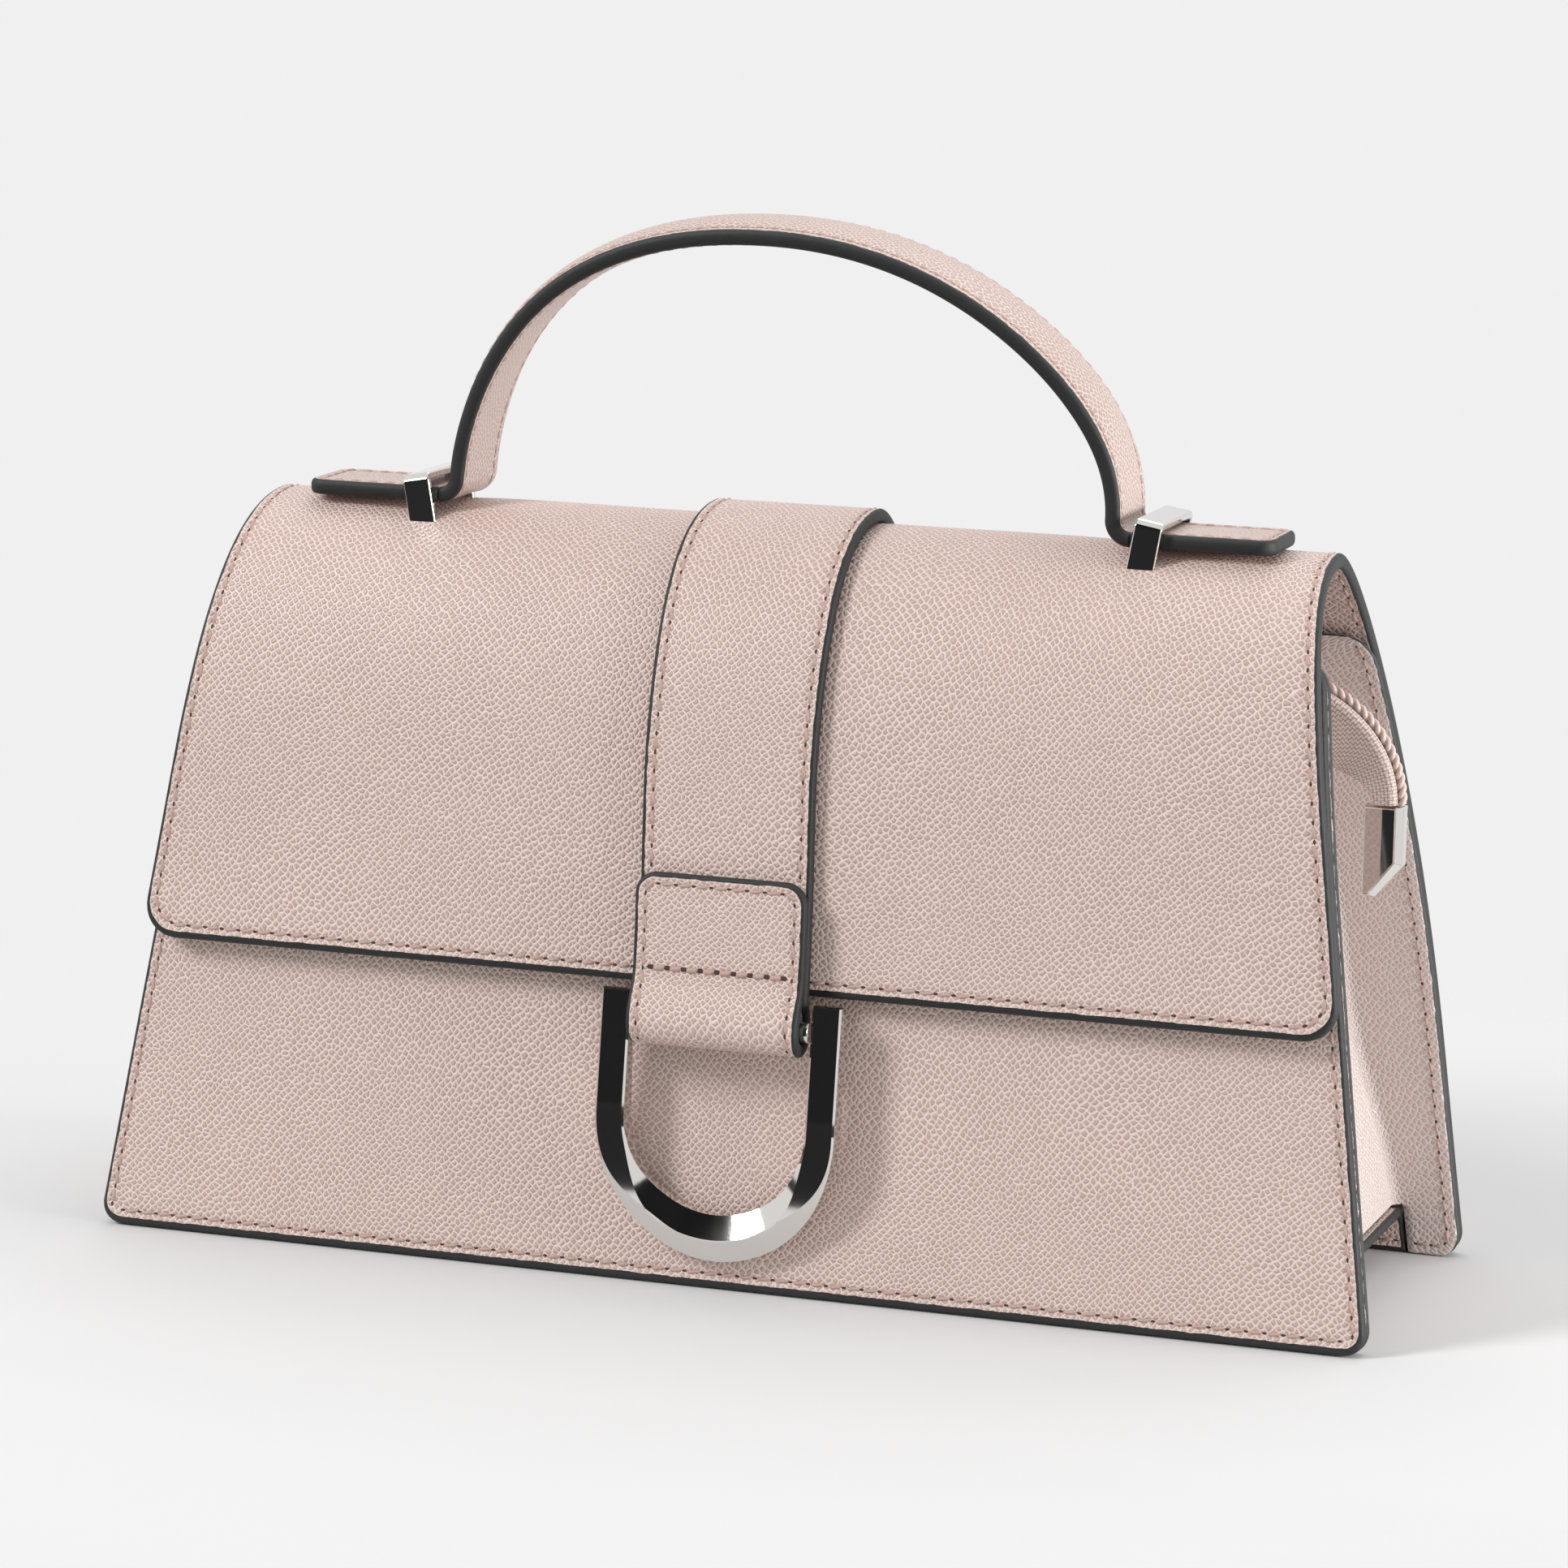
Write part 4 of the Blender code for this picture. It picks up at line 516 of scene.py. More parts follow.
def closed_sheet(top, low, distance, u, v, keep=None):
    """A closed mesh from two grids of points: both faces, and walls along every open side.

    It keeps the distance to the painted edge as an attribute, and u, v as its map.
    """
    rows, cols = top.shape[:2]
    if keep is None:
        keep = np.ones((rows - 1, cols - 1), bool)
    index = np.arange(rows * cols).reshape(rows, cols)
    cell = np.stack([index[:-1, :-1], index[1:, :-1], index[1:, 1:], index[:-1, 1:]], -1)
    under = rows * cols
    faces = [cell[keep], cell[keep][:, ::-1] + under]
    padded = np.pad(keep, 1)
    for k, (di, dj) in enumerate(((0, -1), (1, 0), (0, 1), (-1, 0))):
        beside = padded[1 + di:rows + di, 1 + dj:cols + dj]
        open_side = cell[keep & ~beside]
        a, b = open_side[:, k], open_side[:, (k + 1) % 4]
        faces.append(np.stack([b, a, a + under, b + under], -1))
    points = np.concatenate((top.reshape(-1, 3), low.reshape(-1, 3)))
    flat_map = np.tile(np.stack([u.ravel(), v.ravel()], -1), (2, 1))
    return mesh_from(points, np.concatenate(faces).tolist(), np.tile(distance.ravel(), 2), flat_map)


@contextmanager
def reworking(mesh):
    """Open a mesh for bmesh's operators, then write it back and shade it smooth."""
    build = bmesh.new()
    build.from_mesh(mesh)
    yield build
    build.to_mesh(mesh)
    build.free()
    mesh.shade_smooth()


def turn_outwards(build, weld=1e-6):
    """Weld equal points and point the faces outwards."""
    bmesh.ops.remove_doubles(build, verts=build.verts, dist=weld)
    bmesh.ops.recalc_face_normals(build, faces=build.faces)


def mesh_from(points, faces, distance=None, flat_map=None, sharp=None):
    """A mesh from whole arrays, welded, its faces turned outwards and shaded smooth."""
    mesh = bpy.data.meshes.new("shape")
    mesh.from_pydata(points, [], faces)
    if distance is not None:
        layer = mesh.attributes.new("edge_distance", "FLOAT", "POINT")
        layer.data.foreach_set("value", distance.astype(np.float32))
    if flat_map is not None:
        corner = np.empty(len(mesh.loops), np.int32)
        mesh.loops.foreach_get("vertex_index", corner)
        mesh.uv_layers.new(name="UVMap").data.foreach_set("uv", flat_map[corner].ravel().astype(np.float32))
    with reworking(mesh) as build:
        turn_outwards(build)
        loose = [v for v in build.verts if not v.link_faces]
        bmesh.ops.delete(build, geom=loose, context="VERTS")
    if sharp is not None:
        mesh.set_sharp_from_angle(angle=sharp)
    return mesh


def shown(name, data):
    """An object of the scene at the origin."""
    thing = bpy.data.objects.new(name, data)
    bpy.context.scene.collection.objects.link(thing)
    return thing


def add_piece(name, mesh, body, finishes, replaces=(), bend=False):
    """Put a mesh in the scene, on its body, in its finishes, in the place of its frame nodes."""
    mesh.name = name
    piece = shown(name, mesh)
    for material in finishes:
        mesh.materials.append(material)
    if bend:
        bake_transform(piece)
    else:
        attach(piece, body)
    if replaces:
        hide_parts(*replaces)
    return piece


def add_leather(name, shape, body, *replaced, bend=False, finish=None):
    """A sheet or a mesh as a piece of leather."""
    mesh = shape.mesh() if isinstance(shape, Sheet) else shape
    finish = finish or leather_finish("grained leather")
    return add_piece(name, mesh, body, [finish], replaced, bend)


def add_metal(name, mesh, body, *replaced):
    return add_piece(name, mesh, body, [nickel_finish("polished nickel")], replaced)


def add_tape(name, mesh, body, *replaced):
    finish = woven_finish("zip tape", TAPE_COLORS, 0.72 * MM, 0.16 * MM)
    return add_piece(name, mesh, body, [finish], replaced)


def add_coil(name, mesh, body, *replaced):
    finish = plain_finish("zip coil", linear(*COIL_COLOR), 0.42, 900.0, 0.08)
    return add_piece(name, mesh, body, [finish], replaced)


def ring_faces(spans, count, closed=False):
    """Quads between neighbouring rings of equal count, and the rings' own numbers."""
    index = np.arange(spans * count).reshape(spans, count)
    if closed:
        index = np.concatenate((index, index[:1]))
    a, b = index[:-1], index[1:]
    return np.stack([a, np.roll(a, -1, 1), np.roll(b, -1, 1), b], -1).reshape(-1, 4), index


def lofted(rings, closed=False, sharp=None, flat_map=None):
    """Skin rings of equal count, capped at both ends, or joined end to end."""
    rings = np.asarray(rings, float)
    faces, index = ring_faces(*rings.shape[:2], closed)
    faces = faces.tolist()
    if not closed:
        faces += [index[0].tolist(), index[-1][::-1].tolist()]
    return mesh_from(rings.reshape(-1, 3), faces, flat_map=flat_map, sharp=sharp)


def turned(profile, centre, axis, sides=64, hollow=False):
    """A profile of (radius, height) turned about an axis through centre; a hollow one is a closed loop."""
    axis = unit(np.asarray(axis, float))
    across = unit(np.cross(axis, (1.0, 0.0, 0.0) if abs(axis[0]) < 0.9 else (0.0, 1.0, 0.0)))
    turn = round_angles(sides)[:, None]
    spoke = np.cos(turn) * across + np.sin(turn) * np.cross(axis, across)
    rings = np.array([np.asarray(centre) + spoke * radius + axis * height for radius, height in profile])
    return lofted(rings, closed=hollow, sharp=math.radians(35))


def tube_along(path, radius, sides):
    """Rings of a round tube along a path of points, on a frame that turns as little as it can."""
    way = unit(np.gradient(path, axis=0))
    up = unit(np.cross(way, (0.0, 1.0, 0.013)))
    turn = round_angles(sides)[:, None]
    ring = up[:, None] * np.cos(turn) + np.cross(way, up)[:, None] * np.sin(turn)
    return path[:, None] + ring * radius


def on_face(sheet, path, side):
    """Points and outward normals of a path of (run, place across) on one face of a sheet."""
    run, x = path[:, 0], path[:, 1]
    height = sheet.height(run, x, side)
    points = sheet.place(run, x, height)
    above = sheet.place(run, x, height + side * MM)
    return points, (above - points) / MM


def edge_seam(sheet, low, high, side, parts=("left", "end", "right")):
    """Seam inside the edges of one face: one side, round the corners at high, the other side."""
    way = 1 if high > low else -1
    radius = max(sheet.corners[1 if way > 0 else 0], STITCH_INSET) if "end" in parts else 0.0
    run = np.linspace(low, high - way * radius, 160)
    half = sheet.half_width(run)
    left = np.stack([run, STITCH_INSET - half], -1)
    bend = np.linspace(0, math.pi / 2, 16)
    tight = radius - STITCH_INSET
    corner = np.stack([run[-1] + way * tight * np.sin(bend), radius - half[-1] - tight * np.cos(bend)], -1)
    mirror = np.array([1.0, -1.0])
    path = []
    if "left" in parts:
        path.append(left)
    if "end" in parts:
        across = np.linspace(corner[-1, 1], -corner[-1, 1], 120)
        path += [corner[:-1], np.stack([np.full(120, corner[-1, 0]), across], -1), corner[::-1][1:] * mirror]
    if "right" in parts:
        path.append(left[::-1] * mirror)
    return on_face(sheet, np.concatenate(path), side)


def row_seam(sheet, run, margin, side):
    """Seam straight across one face at one length along it."""
    half = float(sheet.half_width(np.array([run]))[0]) - margin
    return on_face(sheet, np.stack([np.full(120, run), np.linspace(-half, half, 120)], -1), side)


def stitch_parts(points, normals, pitch, thread):
    """Stitches and needle holes at even steps along a path, as points, faces and finish numbers.

    A stitch is a round bar whose ends bow down into the holes; a hole is a low dome in a dark colour, painted
    shade that stands for the shadow inside the needle hole.
    """
    run = running(np.linalg.norm(np.diff(points, axis=0), axis=1))
    count = max(1, round(run[-1] / pitch))
    pitch = run[-1] / count

    def read(values, at):
        return np.stack([np.interp(at, run, values[:, k]) for k in range(3)], -1)

    def axes(at):
        along = unit(read(points, at + 0.3 * MM) - read(points, at - 0.3 * MM))
        up = read(normals, at)
        up = unit(up - along * np.sum(up * along, axis=1, keepdims=True))
        return np.stack([along, np.cross(up, along), up], 1)

    def copies(template, at):
        """The template's rings of points set on each place, and its faces numbered on."""
        size = template.shape[0] * template.shape[1]
        placed = np.einsum("tk,nkj->ntj", template.reshape(-1, 3), axes(at)) + read(points, at)[:, None]
        face = ring_faces(*template.shape[:2])[0] + (np.arange(len(at)) * size)[:, None, None]
        return placed.reshape(-1, 3), face.reshape(-1, 4)

    turn = round_angles(6)
    t = np.array([-1.0, -0.86, -0.45, 0.45, 0.86, 1.0])[:, None]
    fat = np.array([0.0, 0.75, 1.0, 1.0, 0.75, 0.0])[:, None]
    along = t * pitch * STITCH_SHARE / 2 + 0 * turn
    across = thread * fat * np.cos(turn)
    up = thread * (0.28 - 1.15 * np.abs(t) ** 4) + thread * 0.9 * fat * np.sin(turn)
    cos, sin = math.cos(STITCH_SLANT), math.sin(STITCH_SLANT)
    bar = np.stack([along * cos - across * sin, along * sin + across * cos, up], -1)
    bars, bar_faces = copies(bar, (np.arange(count) + 0.5) * pitch)
    ring = np.array([1.0, 0.75, 0.0, 0.0, 1.0])[:, None] * thread
    level = np.array([0.0, 0.09, 0.12, -0.3, -0.3])[:, None] * thread + 0 * turn
    dome = np.stack([ring * 1.5 * np.cos(turn), ring * np.sin(turn), level], -1)
    domes, dome_faces = copies(dome, np.arange(count + 1) * pitch)
    numbers = np.repeat((0, 1), (len(bar_faces), len(dome_faces)))
    return np.concatenate((bars, domes)), np.concatenate((bar_faces, dome_faces + len(bars))), numbers


def add_stitches(name, seams, body, stitch=None, bend=False):
    """One piece for all the stitches of a body's seams."""
    sizes = bpy.context.scene.handbag_sizes
    usual = stitch or (sizes.stitch_pitch, sizes.thread_width / 2)
    points, faces, numbers, count = [], [], [], 0
    for path, normals, *own in seams:
        p, f, n = stitch_parts(path, normals, *(own or usual))
        points.append(p)
        faces.append(f + count)
        numbers.append(n)
        count += len(p)
    mesh = bpy.data.meshes.new(name)
    mesh.from_pydata(np.concatenate(points), [], np.concatenate(faces).tolist())
    mesh.polygons.foreach_set("material_index", np.concatenate(numbers).astype(np.int32))
    with reworking(mesh) as build:
        turn_outwards(build, 1e-7)
    thread = plain_finish("sewing thread", bpy.context.scene.handbag_leather.thread_color, 0.6, 2400.0, 0.2)
    # The needle holes' finish is painted shade: a dark colour for the shadow inside each hole, put on a low
    # dome
    hole = plain_finish("needle hole", linear(*NEEDLE_HOLE_SHADE_COLOR), 0.85, 2000.0, 0.25)
    return add_piece(name, mesh, body, [thread, hole], bend=bend)


def linear(*rgb):
    """Linear light from 0-255 display values."""
    return tuple((c / 255 / 12.92) if c < 10.3 else ((c / 255 + 0.055) / 1.055) ** 2.4 for c in rgb)


class Graph:
    """Short ways to add and join shader nodes."""

    def __init__(self, tree):
        self.tree = tree

    def fill(self, node, inputs):
        """Link or set each named input of a node."""
        for key, value in inputs.items():
            if isinstance(value, bpy.types.NodeSocket):
                self.tree.links.new(value, node.inputs[key])
            else:
                node.inputs[key].default_value = value

    def add(self, kind, inputs=None, **settings):
        node = self.tree.nodes.new("ShaderNode" + kind)
        for key, value in settings.items():
            setattr(node, key, value)
        self.fill(node, inputs or {})
        return node.outputs

    def sum(self, operation, a, b=0.0, c=0.0):
        return self.add("Math", {0: a, 1: b, 2: c}, operation=operation)[0]

    def plus(self, a, b):
        return self.sum("ADD", a, b)

    def minus(self, a, b):
        return self.sum("SUBTRACT", a, b)

    def times(self, a, b):
        return self.sum("MULTIPLY", a, b)

    def vector(self, operation, a, b):
        return self.add("VectorMath", {0: a, 1: b}, operation=operation)[0]

    def scale(self, vector, factor):
        return self.add("VectorMath", {0: vector, 3: factor}, operation="SCALE")[0]

    def ease(self, value, low, high, start=0.0, end=1.0):
        inputs = {"Value": value, "From Min": low, "From Max": high, "To Min": start, "To Max": end}
        return self.add("MapRange", inputs, interpolation_type="SMOOTHSTEP")[0]

    def mix(self, share, a, b, blend="MIX"):
        return self.add("Mix", {0: share, 6: a, 7: b}, data_type="RGBA", blend_type=blend)[2]

    def noise(self, vector, scale, detail=2.0, output="Fac"):
        return self.add("TexNoise", {"Vector": vector, "Scale": scale, "Detail": detail})[output]

    def wander(self, vector, scale, detail):
        """A noise in each direction, from -0.5 to 0.5."""
        return self.vector("SUBTRACT", self.noise(vector, scale, detail, "Color"), (0.5, 0.5, 0.5))

    def bump(self, height, distance, strength=1.0):
        return self.add("Bump", {"Height": height, "Distance": distance, "Strength": strength})[0]

    def place(self):
        return self.add("TexCoord")["Object"]

    def flat(self):
        return self.add("UVMap", uv_map="UVMap")[0]


def effect(name, inputs, outputs):
    """Make a drawing function give its node group, built once: draw(graph, inputs) returns its outputs.

    A socket is given as its kind, or as its default number.
    """
    def made(draw):
        def group():
            if name in bpy.data.node_groups:
                return bpy.data.node_groups[name]
            tree = bpy.data.node_groups.new(name, "ShaderNodeTree")
            for way, sockets in (("INPUT", inputs), ("OUTPUT", outputs)):
                for label, default in sockets.items():
                    kind = default if isinstance(default, str) else "Float"
                    socket = tree.interface.new_socket(label, in_out=way, socket_type="NodeSocket" + kind)
                    if kind != default:
                        socket.default_value = default
            given = tree.nodes.new("NodeGroupInput").outputs
            end = tree.nodes.new("NodeGroupOutput")
            for socket, value in zip(end.inputs, draw(Graph(tree), given)):
                tree.links.new(value, socket)
            return tree
        return group
    return made


@effect("pebble grain",
        {"Vector": "Vector", "Pitch": 0.0017, "Line": 0.22, "Cell": "Color", "Groove": "Color"},
        {"Color": "Color", "Height": "Float", "Groove": "Float"})
def grain_effect(g, given):
    """Pebbled leather: a diamond net of pale lines that wanders a little, round darker, domed cells."""
    bent = g.vector("ADD", given["Vector"], g.scale(g.wander(given["Vector"], 16.0, 1.0), 0.012))
    flat = g.vector("MULTIPLY", bent, (1.04, 0.98, 1.0))
    spun = g.add("VectorRotate", {"Vector": flat, "Angle": math.radians(43)}, rotation_type="Z_AXIS")[0]
    cells = g.scale(spun, g.sum("DIVIDE", 1.0, given["Pitch"]))
    moved = g.vector("ADD", cells, g.scale(g.wander(cells, 0.55, 2.0), 0.75))
    net = g.add("TexVoronoi", {"Vector": moved, "Scale": 1.0, "Randomness": 0.5},
                feature="DISTANCE_TO_EDGE", voronoi_dimensions="2D")["Distance"]
    fine = g.noise(cells, 2.6, 3.0)
    net = g.plus(net, g.times(g.minus(fine, 0.5), 0.12))
    groove = g.ease(net, 0.06, given["Line"], 1.0, 0.0)
    broad = g.noise(cells, 0.11, 3.0)
    tone = g.plus(g.times(g.ease(net, 0.14, 0.42), 0.12), g.sum("MULTIPLY_ADD", broad, 0.16, 0.84))
    shade = g.add("CombineColor", {0: tone, 1: tone, 2: tone})[0]
    color = g.mix(groove, g.mix(1.0, given["Cell"], shade, "MULTIPLY"), given["Groove"])
    return color, g.plus(g.ease(net, 0.02, 0.38), g.times(fine, 0.18)), groove


@effect("edge paint", {"Vector": "Vector", "Distance": 0.0, "Limit": 0.0003},
        {"Mask": "Float", "Swell": "Float"})
def paint_effect(g, given):
    """Edge paint: a mask within a little-varying limit of the edge, and the paint's own low swell."""
    waver = g.noise(given["Vector"], 420.0, 2.0)
    limit = g.sum("MULTIPLY_ADD", waver, 0.0005, g.minus(given["Limit"], 0.00025))
    mask = g.ease(g.minus(given["Distance"], limit), -0.00004, 0.00004, 1.0, 0.0)
    return mask, g.noise(given["Vector"], 900.0, 3.0)


@effect("plain weave", {"Vector": "Vector", "Pitch": 0.0005, "Thread": "Color", "Shade": "Color"},
        {"Color": "Color", "Height": "Float"})
def weave_effect(g, given):
    """Plain weave: threads over and under by turns, each a half round."""
    cells = g.scale(given["Vector"], g.sum("DIVIDE", 1.0, given["Pitch"]))
    parts = g.add("SeparateXYZ", {0: cells})
    warp, weft = (g.sum("ABSOLUTE", g.sum("SINE", g.times(parts[k], math.pi))) for k in (0, 1))
    turns = g.plus(g.sum("FLOOR", parts[0]), g.sum("FLOOR", parts[1]))
    over = g.sum("GREATER_THAN", g.sum("FRACT", g.times(turns, 0.5)), 0.25)
    raised = g.plus(g.times(warp, over), g.times(weft, g.minus(1.0, over)))
    height = g.plus(g.times(raised, 0.75), g.times(g.noise(cells, 0.4, 3.0), 0.3))
    return g.mix(g.ease(height, 0.1, 0.95), given["Shade"], given["Thread"]), height


@effect("handling marks", {"Vector": "Vector", "Roughness": 0.06, "Haze": 0.05},
        {"Height": "Float", "Roughness": "Float"})
def wear_effect(g, given):
    """Handling marks on polished metal: fine hairlines in two directions and a soft haze."""
    lines = g.noise(g.vector("MULTIPLY", given["Vector"], (1.0, 22.0, 3.0)), 260.0, 4.0)
    crossed = g.noise(g.vector("MULTIPLY", given["Vector"], (18.0, 2.0, 1.0)), 300.0, 4.0)
    haze = g.ease(g.noise(given["Vector"], 70.0, 3.0), 0.45, 0.75)
    return g.times(g.plus(lines, crossed), 0.5), g.plus(given["Roughness"], g.times(haze, given["Haze"]))


def finish(draw):
    """Make a drawing function give its material, built once: draw(graph, shader, values) sets its nodes."""
    def made(name, *values, **named):
        if name not in bpy.data.materials:
            material = bpy.data.materials.new(name)
            material.use_nodes = True
            draw(Graph(material.node_tree), material.node_tree.nodes["Principled BSDF"], *values, **named)
        return bpy.data.materials[name]
    return made


@finish
def leather_finish(g, shader, paint_width=0.95 * MM, relief=0.19 * MM, sheen=0.0, pale=0.0, shade=1.0):
    """Grained leather whose painted edges follow the distance to the edge."""
    looks = bpy.context.scene.handbag_leather
    # pale draws the colours towards a pale grey, painted sheen for a lit copy of the leather; shade darkens
    # them, painted shade for a shaded copy
    cell, groove = ((*((c + (0.68 - c) * pale) * shade for c in color), 1.0)
                    for color in (looks.cell_color, looks.groove_color))
    grain = g.add("Group", {"Vector": g.flat(), "Pitch": looks.grain_pitch, "Cell": cell, "Groove": groove},
                  node_tree=grain_effect())
    distance = g.add("Attribute", attribute_name="edge_distance")["Fac"]
    paint = g.add("Group", {"Vector": g.place(), "Distance": distance, "Limit": paint_width},
                  node_tree=paint_effect())
    skin = g.mix(g.ease(distance, 0.6 * MM, 2.2 * MM, 0.35, 0.0), grain["Color"], groove)
    skin_rough = g.ease(grain["Groove"], 0.0, 1.0, looks.roughness, looks.roughness + 0.12)
    bare = g.minus(1.0, paint["Mask"])
    height = g.plus(g.times(grain["Height"], bare), g.times(g.times(paint["Swell"], 0.8), paint["Mask"]))
    g.fill(shader, {
        "Base Color": g.mix(paint["Mask"], skin, (*looks.paint_color, 1.0)),
        "Roughness": g.plus(g.times(skin_rough, bare), g.times(paint["Mask"], 0.65)),
        "Normal": g.bump(height, relief), "Specular IOR Level": 0.6, "Sheen Weight": sheen,
        "Sheen Roughness": 0.4})


@finish
def woven_finish(g, shader, colors, pitch, relief):
    """Woven textile, in the colours of its thread and of the shade between threads."""
    colors = {key: (*linear(*color), 1.0) for key, color in zip(("Thread", "Shade"), colors)}
    weave = g.add("Group", {"Vector": g.flat(), "Pitch": pitch, **colors}, node_tree=weave_effect())
    g.fill(shader, {"Base Color": weave["Color"], "Normal": g.bump(weave["Height"], relief, 0.9),
                    "Roughness": 0.85, "Sheen Weight": 0.25, "Sheen Roughness": 0.4})


@finish
def plain_finish(g, shader, color, roughness, grain_scale, spread, specular=0.5):
    """A finish whose colour and surface vary softly."""
    field = g.noise(g.place(), grain_scale, 3.0)
    dark, light = ((*(min(1.0, c * (1 + way * spread)) for c in color), 1.0) for way in (-1, 1))
    g.fill(shader, {"Base Color": g.mix(field, dark, light), "Normal": g.bump(field, 0.03 * MM, 0.8),
                    "Roughness": roughness, "Specular IOR Level": specular})


@finish
def nickel_finish(g, shader):
    """Polished nickel with faint handling marks."""
    looks = bpy.context.scene.handbag_metal
    marks = g.add("Group", {"Vector": g.place(), "Roughness": looks.roughness, "Haze": 0.05},
                  node_tree=wear_effect())
    g.fill(shader, {"Base Color": (*looks.color, 1.0), "Metallic": 1.0, "Roughness": marks["Roughness"],
                    "Normal": g.bump(marks["Height"], 0.004 * MM, 0.25)})


def half_from(line):
    """Half width of a sheet that keeps to the bag's tapering sides."""
    return lambda run: side_line(np.maximum(line.at(run)[..., 1], 0.0))


def constant(value):
    return lambda run: np.full(np.shape(run), value)


def keeper_dents(run, x):
    """Dents of the flap round the keepers with a swelling beside each, and soft waves down its sides."""
    at = SHELL.at(run)
    aside, ahead = np.abs(x) - KEEPER_X, at[..., 0] - HANDLE_Y
    wide, deep = KEEPER_DENT_SIZE
    over = bump_at(aside, 0, wide) * bump_at(ahead, 0, deep)
    away = smooth((np.abs(x) - 0.022) / 0.03)
    drop = smooth((run - CREST_RUN) / 0.03) * away
    wide, deep = KEEPER_SWELL_SIZE
    beside = bump_at(aside, -KEEPER_SWELL_OFF[0], wide) * bump_at(ahead, -KEEPER_SWELL_OFF[1], deep)
    crown = np.where(at[..., 1] > SHOULDER_Z, KEEPER_DENT * over - KEEPER_SWELL * beside, 0)
    return crown + FLAP_WAVE * drop * ripple(run, x, 11)


def outer_sheet():
    line = SHELL.offset(PANEL_T / 2)
    start = float(np.interp(back_run(FOOT_LIFT), SHELL.run, line.run))
    crest = float(np.interp(CREST_RUN, SHELL.run, line.run))

    def half(run):
        return half_from(line)(run) + FLAP_WIDER * smooth((run - crest) / FLAP_WIDENING)
    return Sheet(line, PANEL_T, half, start=start, corners=(FOOT_CORNER_R, LIP_CORNER_R),
                 sewn=(True, False, True), deeper=(FOOT_DEEPER, LIP_DEEPER), relief=keeper_dents)


def front_sheet():
    z = np.linspace(FOOT_LIFT, RIM_Z, 200)
    line = Line(np.stack([front_face(z) + level_thickness(front_face, z, PANEL_T) / 2, z], -1))
    return Sheet(line, PANEL_T, half_from(line), corners=(FOOT_CORNER_R, MOUTH_CORNER_R),
                 sewn=(True, True, True), deeper=(FOOT_DEEPER, 0.0),
                 relief=lambda run, x: PANEL_WAVE * ripple(run, x, 5))


def base_sheet():
    """A channel: its flanges turn down inside the panels."""
    inset = GAP + BASE_T / 2
    level = WALL_FOOT_Z - inset
    r = FOLD_BEND_R
    front, back = (float(front_inner(z)) + inset for z in (0.0, level))
    rear, rear_top = (float(back_inner(z)) - inset for z in (0.0, level))
    line = Line(np.concatenate((
        straight((front, FOOT_LIFT), (back, level - r), 12),
        arc((back + r, level - r), r, 180, 90)[1:],
        straight((back + r, level), (rear_top - r, level), 60)[1:],
        arc((rear_top - r, level - r), r, 90, 0)[1:],
        straight((rear_top, level - r), (rear, FOOT_LIFT), 12)[1:])))

    def half(run):
        return side_line(np.maximum(line.at(run)[..., 1], 0.0) + BASE_T / 2) - FLANGE_FOOT - GAP
    return Sheet(line, BASE_T, half, sewn=(False, True, True),
                 relief=lambda run, x: -BASE_WAVE * ripple(run, x, 3))


def facing_sheet(way):
    """A facing on the front panel's inner side, or with way -1 on the back's."""
    face = front_inner if way > 0 else back_inner
    z = np.linspace(RIM_Z - FACING_HEIGHT, RIM_Z - 2 * GAP, 60)
    line = Line(np.stack([face(z) + way * (GAP + level_thickness(face, z, FACING_T) / 2), z], -1))
    return Sheet(line, FACING_T, lambda run: wall_line(line.at(run)[..., 1]) - GUSSET_T / 2 - GAP,
                 sewn=(False, True, True))


STRAP_OFFSET = GAP + STRAP_T / 2
TAB_OFFSET = STRAP_OFFSET + STRAP_T + GAP
LOOP_R = BAR_R + GAP + STRAP_T / 2
LEAN_COS = 1 / math.hypot(1, FRONT_LEAN)
FRONT_OUT = np.array([-LEAN_COS, FRONT_LEAN * LEAN_COS])
FRONT_DOWN = np.array([-FRONT_LEAN * LEAN_COS, -LEAN_COS])
BAR = joint_place("ring_swing")[1:] - np.array([SHIFT_Y, 0.0])


def strap_aside(z):
    """The strap lies a little askew: its foot is drawn aside by its loop."""
    return LOOP_ASIDE * smooth((STRAP_ASKEW_Z - z) / STRAP_ASKEW_DROP)


def strap_sheet():
    """Over the ridge, down the front, round the bar and up into the tab."""
    half_gap = (TAB_OFFSET - STRAP_OFFSET) / 2
    above = SHELL.offset(-STRAP_OFFSET)
    first = float(np.interp(back_run(RIM_Z) + STRAP_BEHIND, SHELL.run, above.run))
    shoulder = float(np.interp(front_run(SHOULDER_Z), SHELL.run, above.run))
    over = above.at(np.linspace(first, shoulder, 240))
    down = np.linspace((SHOULDER_Z - BAR[1]) / LEAN_COS, 0, 120)[1:]
    spread = half_gap + (LOOP_R - half_gap) * smooth(1 - down / LOOP_CLOSING[0])
    back = BAR - FRONT_DOWN * down[:, None] - FRONT_OUT * spread[:, None]
    turn = np.linspace(0, math.pi, 40)[1:-1, None]
    loop = BAR - FRONT_OUT * LOOP_R * np.cos(turn) + FRONT_DOWN * LOOP_R * np.sin(turn)
    rise = np.linspace(0, (TAB_TOP_Z - BAR[1]) / LEAN_COS, 80)
    spread = half_gap + (LOOP_R - half_gap) * smooth(1 - rise / LOOP_CLOSING[1])
    front = BAR - FRONT_DOWN * rise[:, None] + FRONT_OUT * spread[:, None]
    line = Line(np.concatenate((over, back, loop, front)))
    return Sheet(line, STRAP_T, constant(STRAP_HALF), corners=(STRAP_CORNER_R, STRAP_CORNER_R),
                 sewn=(True, False, True), across=strap_aside, step=2 * MM)


